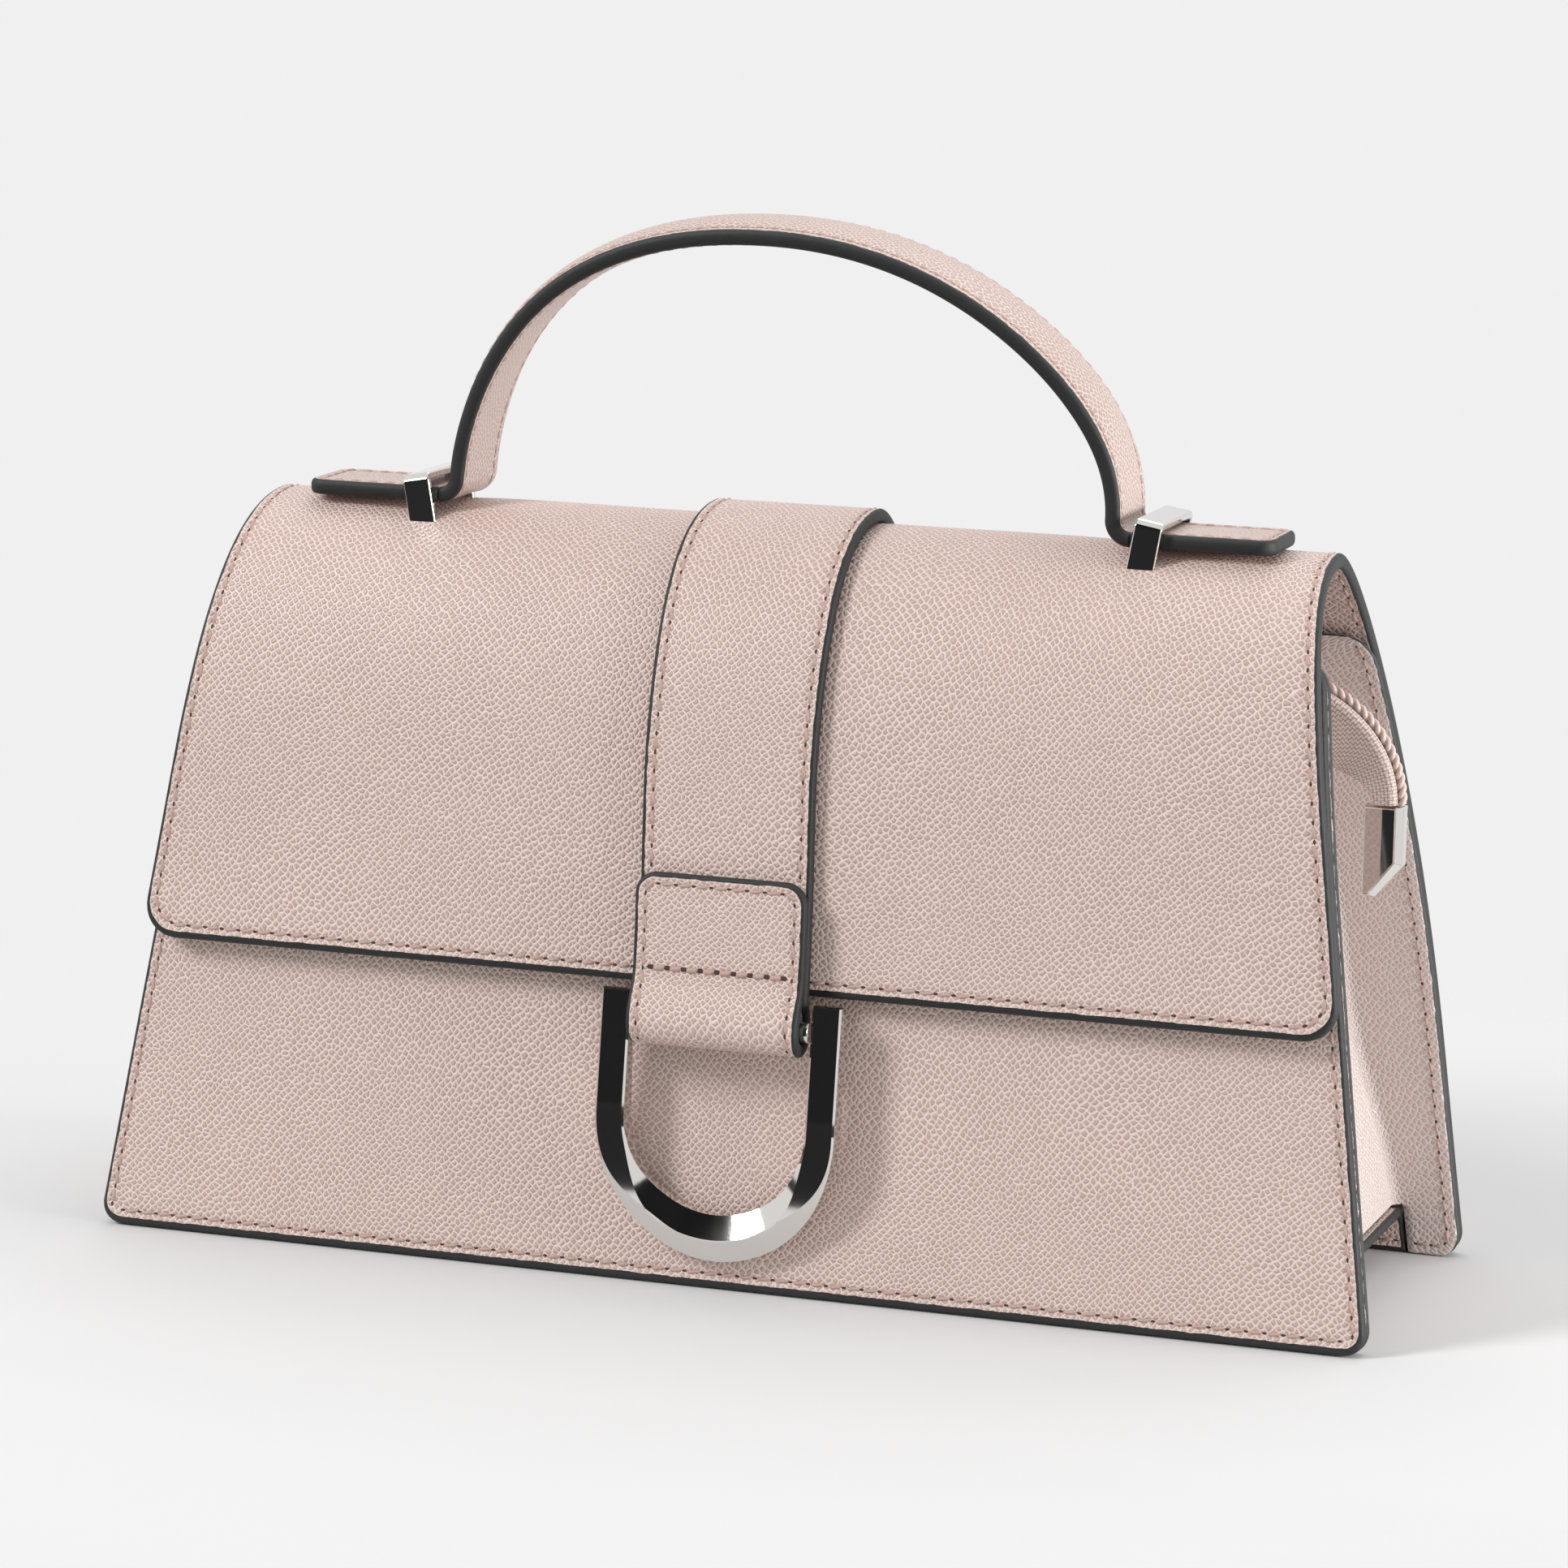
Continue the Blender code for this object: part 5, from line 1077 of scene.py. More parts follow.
def handle_lean(z):
    """Turn of the strap and its drift to the front: the arch leans forward above its feet."""
    rise = np.clip(z - RIDGE_Z - HANDLE_LEAN_START, 0, None)
    share = smooth(rise / HANDLE_LEAN_RISE)
    drift = np.where(rise < HANDLE_LEAN_RISE, rise * share / 2, rise - HANDLE_LEAN_RISE / 2)
    return HANDLE_LEAN * share, -math.sin(HANDLE_LEAN) * drift


def handle_sheet():
    """The arch: a superellipse whose crown leans, on two small bends at its feet, its strap padded."""
    joint = HANDLE_SPAN + HANDLE_BEND_R
    level = RIDGE_Z + GAP + HANDLE_T / 2
    base = level + HANDLE_BEND_R
    rise = HANDLE_TOP_Z + HANDLE_CROWN - HANDLE_T / 2 - base
    turn = np.linspace(0, math.pi, 500)[1:-1]
    x = HANDLE_SPAN * np.sign(np.cos(turn)) * np.abs(np.cos(turn)) ** (2 / HANDLE_SQUARE)
    share = np.sin(turn) ** (2 / HANDLE_SQUARE)
    x = x + HANDLE_SWELL * np.sin(math.pi * share) - HANDLE_DRIFT * share ** 3
    drawn_in = np.abs(np.sin(math.pi * share ** 1.6)) ** 0.8
    x = x - np.where(turn < math.pi / 2, *HANDLE_DRAWN_IN) * drawn_in
    line = Line(np.concatenate((
        arc((joint, base), HANDLE_BEND_R, 270, 180, 24), np.stack([x, base + rise * share], -1),
        arc((-joint, base), HANDLE_BEND_R, 0, -90, 24))))

    def padding(run, x, side):
        inward = np.clip((HANDLE_HALF - np.abs(x) - 0.8 * MM) / (HANDLE_HALF - 0.8 * MM), 0, 1)
        along = smooth((np.minimum(run, line.length - run) - 0.008) / 0.022)
        return HANDLE_PADDING[side > 0] * (1 - (1 - inward) ** 2.2) * along
    return Sheet(line, HANDLE_T, constant(HANDLE_HALF), plane="front", across=HANDLE_Y, lean=handle_lean,
                 free=(False, False), sewn=(True, False, False), padding=padding, step=2 * MM)


def handle_end_sheet(side):
    level = RIDGE_Z + GAP + HANDLE_T / 2
    start = side * (HANDLE_SPAN + HANDLE_BEND_R + GAP)
    line = Line(straight((start, level), (side * HANDLE_END_REACH, level), 40))
    return Sheet(line, HANDLE_T, constant(HANDLE_HALF), plane="front", across=HANDLE_Y, free=(False, True),
                 corners=(0.0, HANDLE_END_CORNER_R), sewn=(True, False, True), step=2 * MM)


def gusset_mesh(side):
    """A gusset: at each height a plan of flange, bend, folded wall, bend and flange.

    At a share of its way across, the wall folds in by depth * sin(pi * share) ** FOLD_POWER, and
    its top dips between the flanges by a squarer sine. side mirrors it.
    """
    top = RIM_Z - 2 * GAP
    corner = FOOT_CORNER_R * (1 - np.cos(np.linspace(0, math.pi / 2, 10)))
    between = np.linspace(WALL_FOOT_Z + 0.005, top - 0.005, 60)
    levels = (MARKS, corner, [WALL_FOOT_Z], WALL_FOOT_Z + MARKS, between, top - MARKS)
    z = np.unique(np.round(np.concatenate(levels), 6))
    edge = side_line(z) - corner_inset(z, FOOT_CORNER_R) - corner_inset(top - z, MOUTH_CORNER_R)
    t = GUSSET_T
    front = (front_inner(z) + GAP + t / 2)[:, None]
    back = (back_inner(z) - GAP - t / 2)[:, None]
    wall = wall_line(z)[:, None]
    r = FOLD_BEND_R
    bend = np.radians(np.linspace(0, 90, 9))[1:]
    share = np.linspace(0, 1, 34)[1:-1]
    flat = np.linspace(0, 1, 5)[1:]
    tips = edge[:, None] - MARKS
    run_in = tips[:, -1:] + (wall + r - tips[:, -1:]) * flat
    flange_x = np.concatenate((tips, run_in), axis=1)
    bend_x = wall + r - r * np.sin(bend)
    fold = fold_depth(z)[:, None] * np.sin(math.pi * share) ** FOLD_POWER
    sag = GUSSET_SAG * ripple(z[:, None], share * 0.04, 21) * np.sin(math.pi * share)
    wall_x = wall - fold + sag
    bend_y = r * (1 - np.cos(bend))
    x = np.concatenate((flange_x, bend_x, wall_x, bend_x[:, ::-1], flange_x[:, ::-1]), axis=1)
    count = flange_x.shape[1]
    wall_y = front + r + (back - front - 2 * r) * share
    y = np.concatenate((np.repeat(front, count, 1), front + bend_y, wall_y, back - bend_y[::-1],
                        np.repeat(back, count, 1)), axis=1)
    dx, dy = np.gradient(x, axis=1), np.gradient(y, axis=1)
    size = np.hypot(dx, dy)
    normal = np.stack([dy / size, -dx / size, np.zeros_like(x)], -1)
    lining_top = RIM_Z - FACING_HEIGHT - GAP
    first, last = count + len(bend) - 1, x.shape[1] - count - len(bend)
    way = np.clip((np.arange(x.shape[1]) - first) / (last - first), 0, 1)
    grip = smooth((z - lining_top) / (top - lining_top))[:, None]
    height = z[:, None] - GUSSET_DIP * grip * np.sin(math.pi * way) ** GUSSET_DIP_POWER
    on_flange = np.abs(np.arange(x.shape[1]) - (x.shape[1] - 1) / 2) > (x.shape[1] - 1) / 2 - count + 0.5
    aside = np.where(on_flange, edge[:, None] - x, 0.05)
    foot = np.where(on_flange, z[:, None], z[:, None] - WALL_FOOT_Z)
    distance = np.minimum(np.minimum(aside, np.abs(foot)), top - z[:, None])
    rim = rim_height(distance, t)
    middle = np.stack([x, y + SHIFT_Y, height], -1)
    steps = (np.diff(values, axis=1, prepend=values[:, :1]) for values in (x, y))
    run = np.cumsum(np.hypot(*steps), axis=1)
    keep = np.ones((len(z) - 1, x.shape[1] - 1), bool)
    inner = ~(on_flange[:-1] & on_flange[1:])
    keep[np.ix_(z[1:] <= WALL_FOOT_Z + 1e-7, inner)] = False
    turned_way = np.array([side, 1.0, 1.0])
    grids = [(middle + normal * rim[..., None] * sign) * turned_way for sign in (1, -1)]
    return closed_sheet(*grids, distance, run, height, keep)


def gusset_seams(side):
    """Seam of each flange, up its edge from its foot, on the face that looks into the fold."""
    z = np.linspace(STITCH_INSET + 1 * MM, RIM_Z - 3 * MM, 120)
    inset = corner_inset(z, FOOT_CORNER_R) + corner_inset(RIM_Z - z, MOUTH_CORNER_R)
    x = side_line(z) - inset - STITCH_INSET
    foot_x = np.linspace(GUSSET_SEAM_FOOT_X, x[0] - 0.8 * MM, 6)
    x, z = np.concatenate((foot_x, x)), np.concatenate((np.full(6, STITCH_INSET), z))
    seams = []
    for face, way in ((front_inner, 1), (back_inner, -1)):
        y = face(z) + way * (GAP + GUSSET_T) + SHIFT_Y
        normals = np.zeros((len(z), 3))
        normals[:, 1] = way
        seams.append((np.stack([side * x, y, z], -1), normals))
    return seams


def lining_rings():
    """Plans of the lining from its floor up to its top edge, and down again inside.

    The heights serve its map, where the inner side has a place of its own.
    """
    floor, top, thin = WALL_FOOT_Z + LINING_LIFT, RIM_Z - FACING_HEIGHT - GAP, LINING_T
    levels = np.linspace(floor, top, 26)
    share = np.linspace(0, 1, 26)
    rings, heights = [], []
    for z, inward in [(z, 0.0) for z in levels] + [(z, thin) for z in levels[:0:-1]] + [(floor + thin, thin)]:
        front = front_inner(z) + GAP + GUSSET_T / 2
        back = back_inner(z) - GAP - GUSSET_T / 2
        x = wall_line(z) - fold_depth(z) * np.sin(math.pi * share) ** FOLD_POWER
        y = front + FOLD_BEND_R + (back - front - 2 * FOLD_BEND_R) * share
        dx, dy = np.gradient(x), np.gradient(y)
        size = np.hypot(dx, dy)
        inset = GUSSET_T / 2 + LINING_T + inward
        x, y = x - dy / size * inset, y + dx / size * inset
        near = front_inner(z) + 2 * GAP + level_thickness(front_inner, z, LINING_FRONT_T) + inward
        far = back_inner(z) - GAP - inward
        across = np.linspace(1, -1, 40)
        sag = LINING_SAG * smooth((z - floor) / 0.02) * smooth((top - z) / 0.01)
        back_row = np.stack([x[-1] * across, far - sag * (1 + ripple(x[-1] * across, z, 31))], -1)
        front_row = np.stack([-x[0] * across, near + sag * (1 + ripple(-x[0] * across, z, 32))], -1)
        wall = np.stack([x, y], -1)
        plan = np.concatenate((wall, back_row, wall[::-1] * np.array([-1.0, 1.0]), front_row))
        rings.append(np.column_stack([plan[:, 0], plan[:, 1] + SHIFT_Y, np.full(len(plan), z)]))
        heights.append(z + (LINING_MAP_SHIFT if inward else 0.0))
    return np.array(rings), np.array(heights)


def joined(meshes):
    """Several meshes as one."""
    build = bmesh.new()
    for mesh in meshes:
        build.from_mesh(mesh)
        bpy.data.meshes.remove(mesh)
    whole = bpy.data.meshes.new("whole")
    build.to_mesh(whole)
    build.free()
    whole.shade_smooth()
    return whole


def rounded(piece, width, segments=2, angle=math.radians(25)):
    """Small even rounds on a piece's edges."""
    bevel = piece.modifiers.new("rounds", "BEVEL")
    bevel.width = width
    bevel.segments = segments
    bevel.limit_method = "ANGLE"
    bevel.angle_limit = angle
    bevel.harden_normals = True
    return piece


def add_softened(node, body, width, segments=2):
    """A copy of a metal frame node with its flat faces rejoined and its edges rounded, in its place."""
    mesh = frame["nodes"][node].data.copy()
    mesh.materials.clear()
    with reworking(mesh) as build:
        bmesh.ops.remove_doubles(build, verts=build.verts, dist=1e-6)
        bmesh.ops.dissolve_limit(build, angle_limit=math.radians(1), verts=build.verts, edges=build.edges)
    mesh.set_sharp_from_angle(angle=math.radians(25))
    return rounded(add_metal(node + "_soft", mesh, body, node), width, segments)


def ring_mesh():
    """A horseshoe: legs and a half round bow, its faceted band swelling with the square of the sine."""
    inner = STRAP_HALF + RING_PLAY
    foot = RING_STRAIGHT
    low = inner + foot + RING_WIDTH + RING_SWELL
    lean = 0.0
    for _ in range(20):
        foot_z = BAR[1] - low * math.cos(lean)
        back_y = float(front_face(foot_z)) - RING_CLEAR - RING_HALF_DEPTH / math.cos(lean)
        lean = math.asin((BAR[0] - back_y) / low)
    legs = np.linspace(RING_TOP, -foot, 8)[:-1]
    bow = np.linspace(0, math.pi, 65)
    turn = np.concatenate((np.full(7, math.pi), math.pi + bow, np.full(7, 2 * math.pi)))
    level = np.concatenate((legs, np.full(65, -foot), legs[::-1]))
    swell = np.sin(turn) ** 2
    width = (RING_WIDTH + RING_SWELL * swell)[:, None]
    full = smooth(swell * RING_FULLNESS)[:, None]
    bevel = RING_BEVEL[0] + RING_BEVEL[1] * full
    w, d, one = width / 2, RING_HALF_DEPTH, np.ones_like(width)
    front = RING_FRONT[0] + RING_FRONT[1] * np.clip((level + foot) / (foot + RING_TOP), 0, 1)[:, None]
    rim = front + (RING_RIM[0] + RING_RIM[1] * full)
    side, cut = RING_BACK_BEVEL[0] * d * one, RING_BACK_BEVEL[1] * d
    outward = np.concatenate((-w, -w, bevel - w, w - bevel, w, w, w - cut, cut - w), axis=1)
    depth = np.concatenate((side, rim, front, front, rim, side, d * one, d * one), axis=1)
    reach = inner + width / 2 + outward
    x = RING_ASIDE + np.cos(turn)[:, None] * reach
    up = np.sin(turn)[:, None] * reach + level[:, None]
    y = BAR[0] + depth * math.cos(lean) + up * math.sin(lean) + SHIFT_Y
    z = BAR[1] + up * math.cos(lean) - depth * math.sin(lean)
    return lofted(np.stack([x, y, z], -1), sharp=math.radians(20))


def zip_edges():
    front = float(front_inner(ZIP_Z) + GAP + level_thickness(front_inner, ZIP_Z, FACING_T)) + GAP
    back = float(back_inner(ZIP_Z) - GAP - level_thickness(back_inner, ZIP_Z, FACING_T)) - GAP
    return front, back, (front + back) / 2


ZIP_FRONT, ZIP_BACK, ZIP_MIDDLE = zip_edges()
TAPE_TOP = ZIP_Z + TAPE_T / 2


def tape_mesh(low_x, high_x, sign):
    """One tape of the zip, flat, from its sewn edge to the slot."""
    edge, inner = (ZIP_FRONT if sign < 0 else ZIP_BACK), ZIP_MIDDLE + sign * ZIP_SLOT / 2
    line = Line(straight((low_x, ZIP_Z), (high_x, ZIP_Z), 90))
    half = abs(edge - inner) / 2
    return Sheet(line, TAPE_T, constant(half), plane="front", across=(edge + inner) / 2,
                 sewn=(False, False, False), step=2 * MM).mesh()


def coil_mesh(low_x, high_x, sign):
    """A wound coil: a flattened helix, its loops leaning towards the slot."""
    wire = COIL_WIRE
    turns = (high_x - low_x) / COIL_PITCH
    turn = np.linspace(0, 2 * math.pi * turns, int(turns * 12) + 1)
    wide, high = COIL_W / 2 - wire, COIL_H / 2 - wire
    x = low_x + turn / (2 * math.pi) * COIL_PITCH + COIL_LEAN * np.cos(turn) * sign
    y = ZIP_MIDDLE + sign * (ZIP_SLOT / 2 + COIL_W / 2) + wide * np.cos(turn) + SHIFT_Y
    z = TAPE_TOP + GAP + COIL_H / 2 + high * np.sin(turn)
    return lofted(tube_along(np.stack([x, y, z], -1), wire, 5))


def tail_course():
    """Line of the tail's crest, level and then a quarter ellipse down, with its tapes' fold and width."""
    start_x, flat = ZIP_HALF_LENGTH + ZIP_END_LENGTH - TAIL_CLEAR, TAIL_LEVEL
    turn = np.linspace(0, math.pi / 2, 90)
    lead = np.linspace(0, 1, 12)[:-1] * flat
    x = np.concatenate((start_x + lead, start_x + flat + TAIL_REACH * np.sin(turn)))
    z = np.concatenate((np.full(11, TAPE_TOP), TAPE_TOP - TAIL_DROP * (1 - np.cos(turn))))
    heading = np.arctan2(-TAIL_DROP * np.sin(turn), TAIL_REACH * np.cos(turn))
    heading = np.concatenate((np.zeros(11), heading))
    run = running(np.hypot(np.diff(x), np.diff(z)))
    way = run / run[-1]
    level = flat / run[-1]
    droop = np.radians(TAIL_DROOP * smooth((way - level) / TAIL_DROOPING))
    spread = smooth((way - level) / TAIL_SPREADING)
    narrow = smooth((way - 1) / TAIL_NARROWING + 1)
    width = TAIL_WIDTH + TAIL_SPREAD * spread - TAIL_NARROW * narrow
    return x, z, heading, run, droop, width


def tail_tape(sign):
    """One hanging tape of the tail: it leaves the crest level and folds down to its droop."""
    x, z, heading, run, droop, width = tail_course()
    share = np.concatenate((np.linspace(0, 0.3, 12)[:-1], np.linspace(0.3, 0.93, 16), [0.96, 0.985, 1.0]))
    across = width[:, None] * share
    curl = TAIL_CURL * np.sin(run[:, None] * TAIL_CURL_PACE + sign)
    angle = droop[:, None] * smooth(across / TAIL_FOLD_REACH) + curl * share
    step = np.diff(across, axis=1, prepend=0)
    a = 1.0 * MM + np.cumsum(step * np.cos(angle), axis=1)
    b = -TAPE_T / 2 - np.cumsum(step * np.sin(angle), axis=1)
    distance = width[:, None] - across
    rim = rim_height(distance, TAPE_T)
    faces = []
    for side in (1, -1):
        p, q = a + side * rim * np.sin(angle), b + side * rim * np.cos(angle)
        faces.append(np.stack([x[:, None] - np.sin(heading)[:, None] * q, ZIP_MIDDLE + SHIFT_Y + sign * p,
                               z[:, None] + np.cos(heading)[:, None] * q], -1))
    return closed_sheet(*faces, distance, across, run[:, None] + 0 * across)


def tail_crest():
    """The coil's twisted tail: two strands wound round the crest."""
    x, z, heading, run, _, _ = tail_course()
    way = np.linspace(TAIL_CLEAR, run[-1], 240)
    x, z, heading = (np.interp(way, run, values) for values in (x, z, heading))
    strands = []
    for start in (0, math.pi):
        turn = 2 * math.pi * way / CREST_PITCH + start
        high, aside = CREST_HIGH + CREST_SWING * np.sin(turn), CREST_ASIDE * np.cos(turn)
        y = ZIP_MIDDLE + SHIFT_Y + aside
        path = np.stack([x - np.sin(heading) * high, y, z + np.cos(heading) * high], -1)
        strands.append(lofted(tube_along(path, CREST_WIRE, 8)))
    return joined(strands)


def cap_mesh():
    """The tail's cap: a box with one corner cut off, each face sunk in a frame and creased upright.

    Its outline runs through the crease's ends. Four rings go from the middle of its depth to the
    sunk face, the last one raised along the crease by CAP_RIDGE times its closeness to it.
    """
    low, high = (np.array(corner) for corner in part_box("zip_end_cap"))
    width, across = high[0] - low[0], (high[1] - low[1]) / 2
    crease = CAP_CREASE * width

    def outline(side, top, slant, foot):
        """The face's outline, drawn in from its sides, its top, its cut corner and its foot."""
        corner = width - side, low[2] + CAP_CORNER[1] + slant * 0.4
        end = width - CAP_CORNER[0] - slant * 0.8, low[2] + foot
        share = (crease - end[0]) / (corner[0] - end[0])
        cut = end[1] + (corner[1] - end[1]) * share
        edge = min(side, 0.35 * MM)
        return [(edge, high[2] - top), (crease, high[2] - top), (width - side, high[2] - top), corner,
                (crease, cut), end, (edge, low[2] + foot)]
    half = []
    for insets, depth in zip(CAP_INSETS, (0.0, across - CAP_FRAME, across, across - CAP_SUNK)):
        ring = np.array(outline(*insets))
        near = 1 - np.abs(ring[:, 0] - crease) / np.where(ring[:, 0] < crease, crease, width - crease)
        raised = CAP_RIDGE * near * (len(half) == 3)
        half.append(np.stack([low[0] + ring[:, 0], -(depth + raised), ring[:, 1]], -1))
    half = np.array(half)
    other = half[:0:-1] * (1, -1, 1)
    rings = np.concatenate((other, half)) + (0.0, (low[1] + high[1]) / 2, 0.0)
    faces, index = ring_faces(*rings.shape[:2])
    faces = faces.tolist()
    for ring in (index[0], index[-1]):
        faces += [ring[[0, 1, 4, 5, 6]].tolist(), ring[[1, 2, 3, 4]].tolist()]
    return mesh_from(rings.reshape(-1, 3), faces, sharp=math.radians(4))


def snap_place(distance):
    """A point on the snap's axis, at a distance out of the front panel's face."""
    point = np.array([float(front_face(SNAP_Z)), SNAP_Z]) + FRONT_OUT * distance
    return np.array([0.0, point[0] + SHIFT_Y, point[1]])


# The snap's pieces: body, whether it is a ring, its foot, and its profile as (radius, height)
SNAP_PIECES = (
    ("socket", "bag_body", True, GAP,
     ((0.0046, 0.0), (0.0070, 0.0), (0.0070, 0.0005), (0.0067, 0.0008), (0.0049, 0.0008), (0.0046, 0.0005))),
    ("washer", "bag_body", False, -PANEL_T - GAP - 0.0006,
     ((0.0078, 0.0), (0.0078, 0.0005), (0.0077, 0.0006))),
    ("stud", "flap_body", False, 0.0025 * LEAN_COS - GAP,
     ((0.0068, 0.0), (0.0070, -0.0002), (0.0070, -0.0006), (0.0068, -0.0008), (0.0040, -0.0008),
      (0.0036, -0.0012))))


Color = partial(FloatVectorProperty, subtype="COLOR", size=3, min=0, max=1)
Length = partial(FloatProperty, precision=4, unit="LENGTH")
Share = partial(FloatProperty, min=0, max=1)
Power = partial(FloatProperty, min=0, unit="POWER")


class HandbagLeather(PropertyGroup):
    """Looks of the leather."""
    cell_color: Color(name="Leather", description="Colour of the grain's cells",
                      default=linear(185, 160, 151))
    groove_color: Color(name="Grain lines", description="Colour between the grain's cells",
                        default=linear(219, 199, 190))
    paint_color: Color(name="Edge paint", description="Colour of the painted edges",
                       default=linear(27, 28, 28))
    thread_color: Color(name="Thread", description="Colour of the stitches", default=linear(180, 152, 142))
    grain_pitch: Length(name="Grain", description="Distance between the grain's cells", default=1.2 * MM,
                        min=0.5 * MM, max=5 * MM)
    roughness: Share(name="Roughness", description="Roughness of the leather", default=0.36)


class HandbagSizes(PropertyGroup):
    """Sizes of the sewing."""
    stitch_pitch: Length(name="Stitch pitch", description="Distance between needle holes", default=3.75 * MM,
                         min=1.5 * MM, max=8 * MM)
    thread_width: Length(name="Thread width", description="Thickness of the sewing thread", default=0.80 * MM,
                         min=0.2 * MM, max=2 * MM)


class HandbagMetal(PropertyGroup):
    """Looks of the metal."""
    color: Color(name="Metal", description="Colour of the polished nickel", default=linear(226, 223, 219))
    roughness: Share(name="Roughness", description="Roughness of the polish", default=0.06)


class HandbagStage(PropertyGroup):
    """Looks of the studio."""
    backdrop: Share(name="Backdrop", description="Lightness of the floor's surroundings", default=0.872)
    top_power: Power(name="Top lamp", description="Power of the lamp overhead", default=8)
    key_power: Power(name="Left lamp", description="Power of the lamp at the front left", default=30)
    side_power: Power(name="Right lamp", description="Power of the lamp at the right", default=23)


class HANDBAG_OT_shell(Operator):
    """Back and flap in one sheet that runs from the back past the mouth's rim over to the flap"""
    bl_idname = "handbag.shell"
    bl_label = "Back and flap"

    def execute(self, context):
        sheet = outer_sheet()
        add_leather("back_and_flap", sheet, None, "back_panel", "flap", "flap_lining", bend=True)
        hinge = float(np.interp(back_run(RIM_Z), SHELL.run, sheet.line.run))
        lip = sheet.end - sheet.deeper[1]
        foot = sheet.start + sheet.deeper[0] + STITCH_INSET
        add_stitches("flap_stitches", [
            edge_seam(sheet, sheet.start + 4 * MM, lip, -1), edge_seam(sheet, hinge + 4 * MM, lip, 1),
            row_seam(sheet, foot, 6 * MM, -1)], None, bend=True)
        return {"FINISHED"}


class HANDBAG_OT_front(Operator):
    """Front panel with its sewn edges"""
    bl_idname = "handbag.front"
    bl_label = "Front panel"

    def execute(self, context):
        sheet = front_sheet()
        add_leather("front_leather", sheet, "bag_body", "front_panel")
        add_stitches("front_stitches", [
            edge_seam(sheet, 4 * MM, sheet.end, 1),
            row_seam(sheet, sheet.deeper[0] + STITCH_INSET, 5 * MM, 1)], "bag_body")
        return {"FINISHED"}


class HANDBAG_OT_gussets(Operator):
    """Both side gussets with their folds and flanges"""
    bl_idname = "handbag.gussets"
    bl_label = "Gussets"

    def execute(self, context):
        seams = []
        # The gussets' leather is a paler, greyer copy of the same leather: painted sheen on the bag's sides
        leather = leather_finish("gusset leather", 0.3 * MM, sheen=0.15, pale=0.3)
        for name, side in (("left", -1), ("right", 1)):
            add_leather("gusset_leather_" + name, gusset_mesh(side), "bag_body", "gusset_" + name,
                        finish=leather)
            seams += gusset_seams(side)
        add_stitches("gusset_stitches", seams, "bag_body", GUSSET_STITCH)
        return {"FINISHED"}


class HANDBAG_OT_base(Operator):
    """Base panel, and the stiffener above it"""
    bl_idname = "handbag.base"
    bl_label = "Base"

    def execute(self, context):
        sheet = base_sheet()
        add_leather("base_leather", sheet, "bag_body", "base_panel")
        add_stitches("base_stitches", [
            row_seam(sheet, run, 2 * MM, -1) for run in (STITCH_INSET, sheet.end - STITCH_INSET)], "bag_body")
        board = frame["nodes"]["base_board"]
        board.data.materials.clear()
        board.data.materials.append(plain_finish("stiffener board", linear(*BOARD_COLOR), 0.8, 500.0, 0.15))
        return {"FINISHED"}


class HANDBAG_OT_mouth(Operator):
    """Facings inside the mouth, and the lining bag"""
    bl_idname = "handbag.mouth"
    bl_label = "Facings and lining"

    def execute(self, context):
        rows = []
        for name, side in (("front", -1), ("back", 1)):
            sheet = facing_sheet(-side)
            add_leather("facing_leather_" + name, sheet, "bag_body", name + "_facing")
            rows += [row_seam(sheet, run, 2 * MM, side) for run in (STITCH_INSET, sheet.end - STITCH_INSET)]
        add_stitches("facing_stitches", rows, "bag_body")
        rings, heights = lining_rings()
        step = np.linalg.norm(np.diff(rings, axis=1, prepend=rings[:, :1]), axis=2)
        flat = np.stack([np.cumsum(step, axis=1), heights[:, None] + 0 * step], -1).reshape(-1, 2)
        cloth = woven_finish("lining cloth", CLOTH_COLORS, 0.6 * MM, 0.1 * MM)
        add_piece("lining_cloth", lofted(rings, flat_map=flat), "bag_body", [cloth], ("lining",))
        return {"FINISHED"}


class HANDBAG_OT_strap(Operator):
    """Centre strap, its loop and its sewn tab"""
    bl_idname = "handbag.strap"
    bl_label = "Centre strap"

    def execute(self, context):
        sheet = strap_sheet()
        add_leather("strap_leather", sheet, "flap_body", "centre_strap")
        tab_length = (TAB_TOP_Z - BAR[1]) / LEAN_COS
        fold_run = sheet.end - tab_length
        covered = fold_run - math.pi * LOOP_R - tab_length
        cross_run = sheet.end - (TAB_TOP_Z - CROSS_SEAM_Z) / LEAN_COS - 1 * MM
        over = edge_seam(sheet, covered - 2 * MM, sheet.start, -1)
        tab = edge_seam(sheet, fold_run - LOOP_R, sheet.end, 1)
        cross = row_seam(sheet, cross_run, 4 * MM, 1)
        add_stitches("strap_stitches", [over, tab, (*cross, *CROSS_STITCH)], "flap_body")
        return {"FINISHED"}


class HANDBAG_OT_handle(Operator):
    """Arched handle and its two flat ends"""
    bl_idname = "handbag.handle"
    bl_label = "Handle"

    def execute(self, context):
        sheet = handle_sheet()
        # The handle's leather is a darker copy of the same leather: painted shade on the handle and its ends
        leather = leather_finish("handle leather", relief=0.1 * MM, shade=0.84)
        add_leather("handle_leather", sheet, "handle_body", "handle", finish=leather)
        seams = [edge_seam(sheet, 3 * MM, sheet.end - 3 * MM, side, (part,))
                 for part in ("left", "right") for side in (1, -1)]
        add_stitches("handle_stitches", seams, "handle_body", HANDLE_STITCH)
        seams = []
        for name, side in (("left", -1), ("right", 1)):
            end = handle_end_sheet(side)
            add_leather("handle_end_leather_" + name, end, "flap_body", "handle_end_" + name, finish=leather)
            seams.append(edge_seam(end, 6 * MM, end.end, side))
        add_stitches("handle_end_stitches", seams, "flap_body")
        return {"FINISHED"}


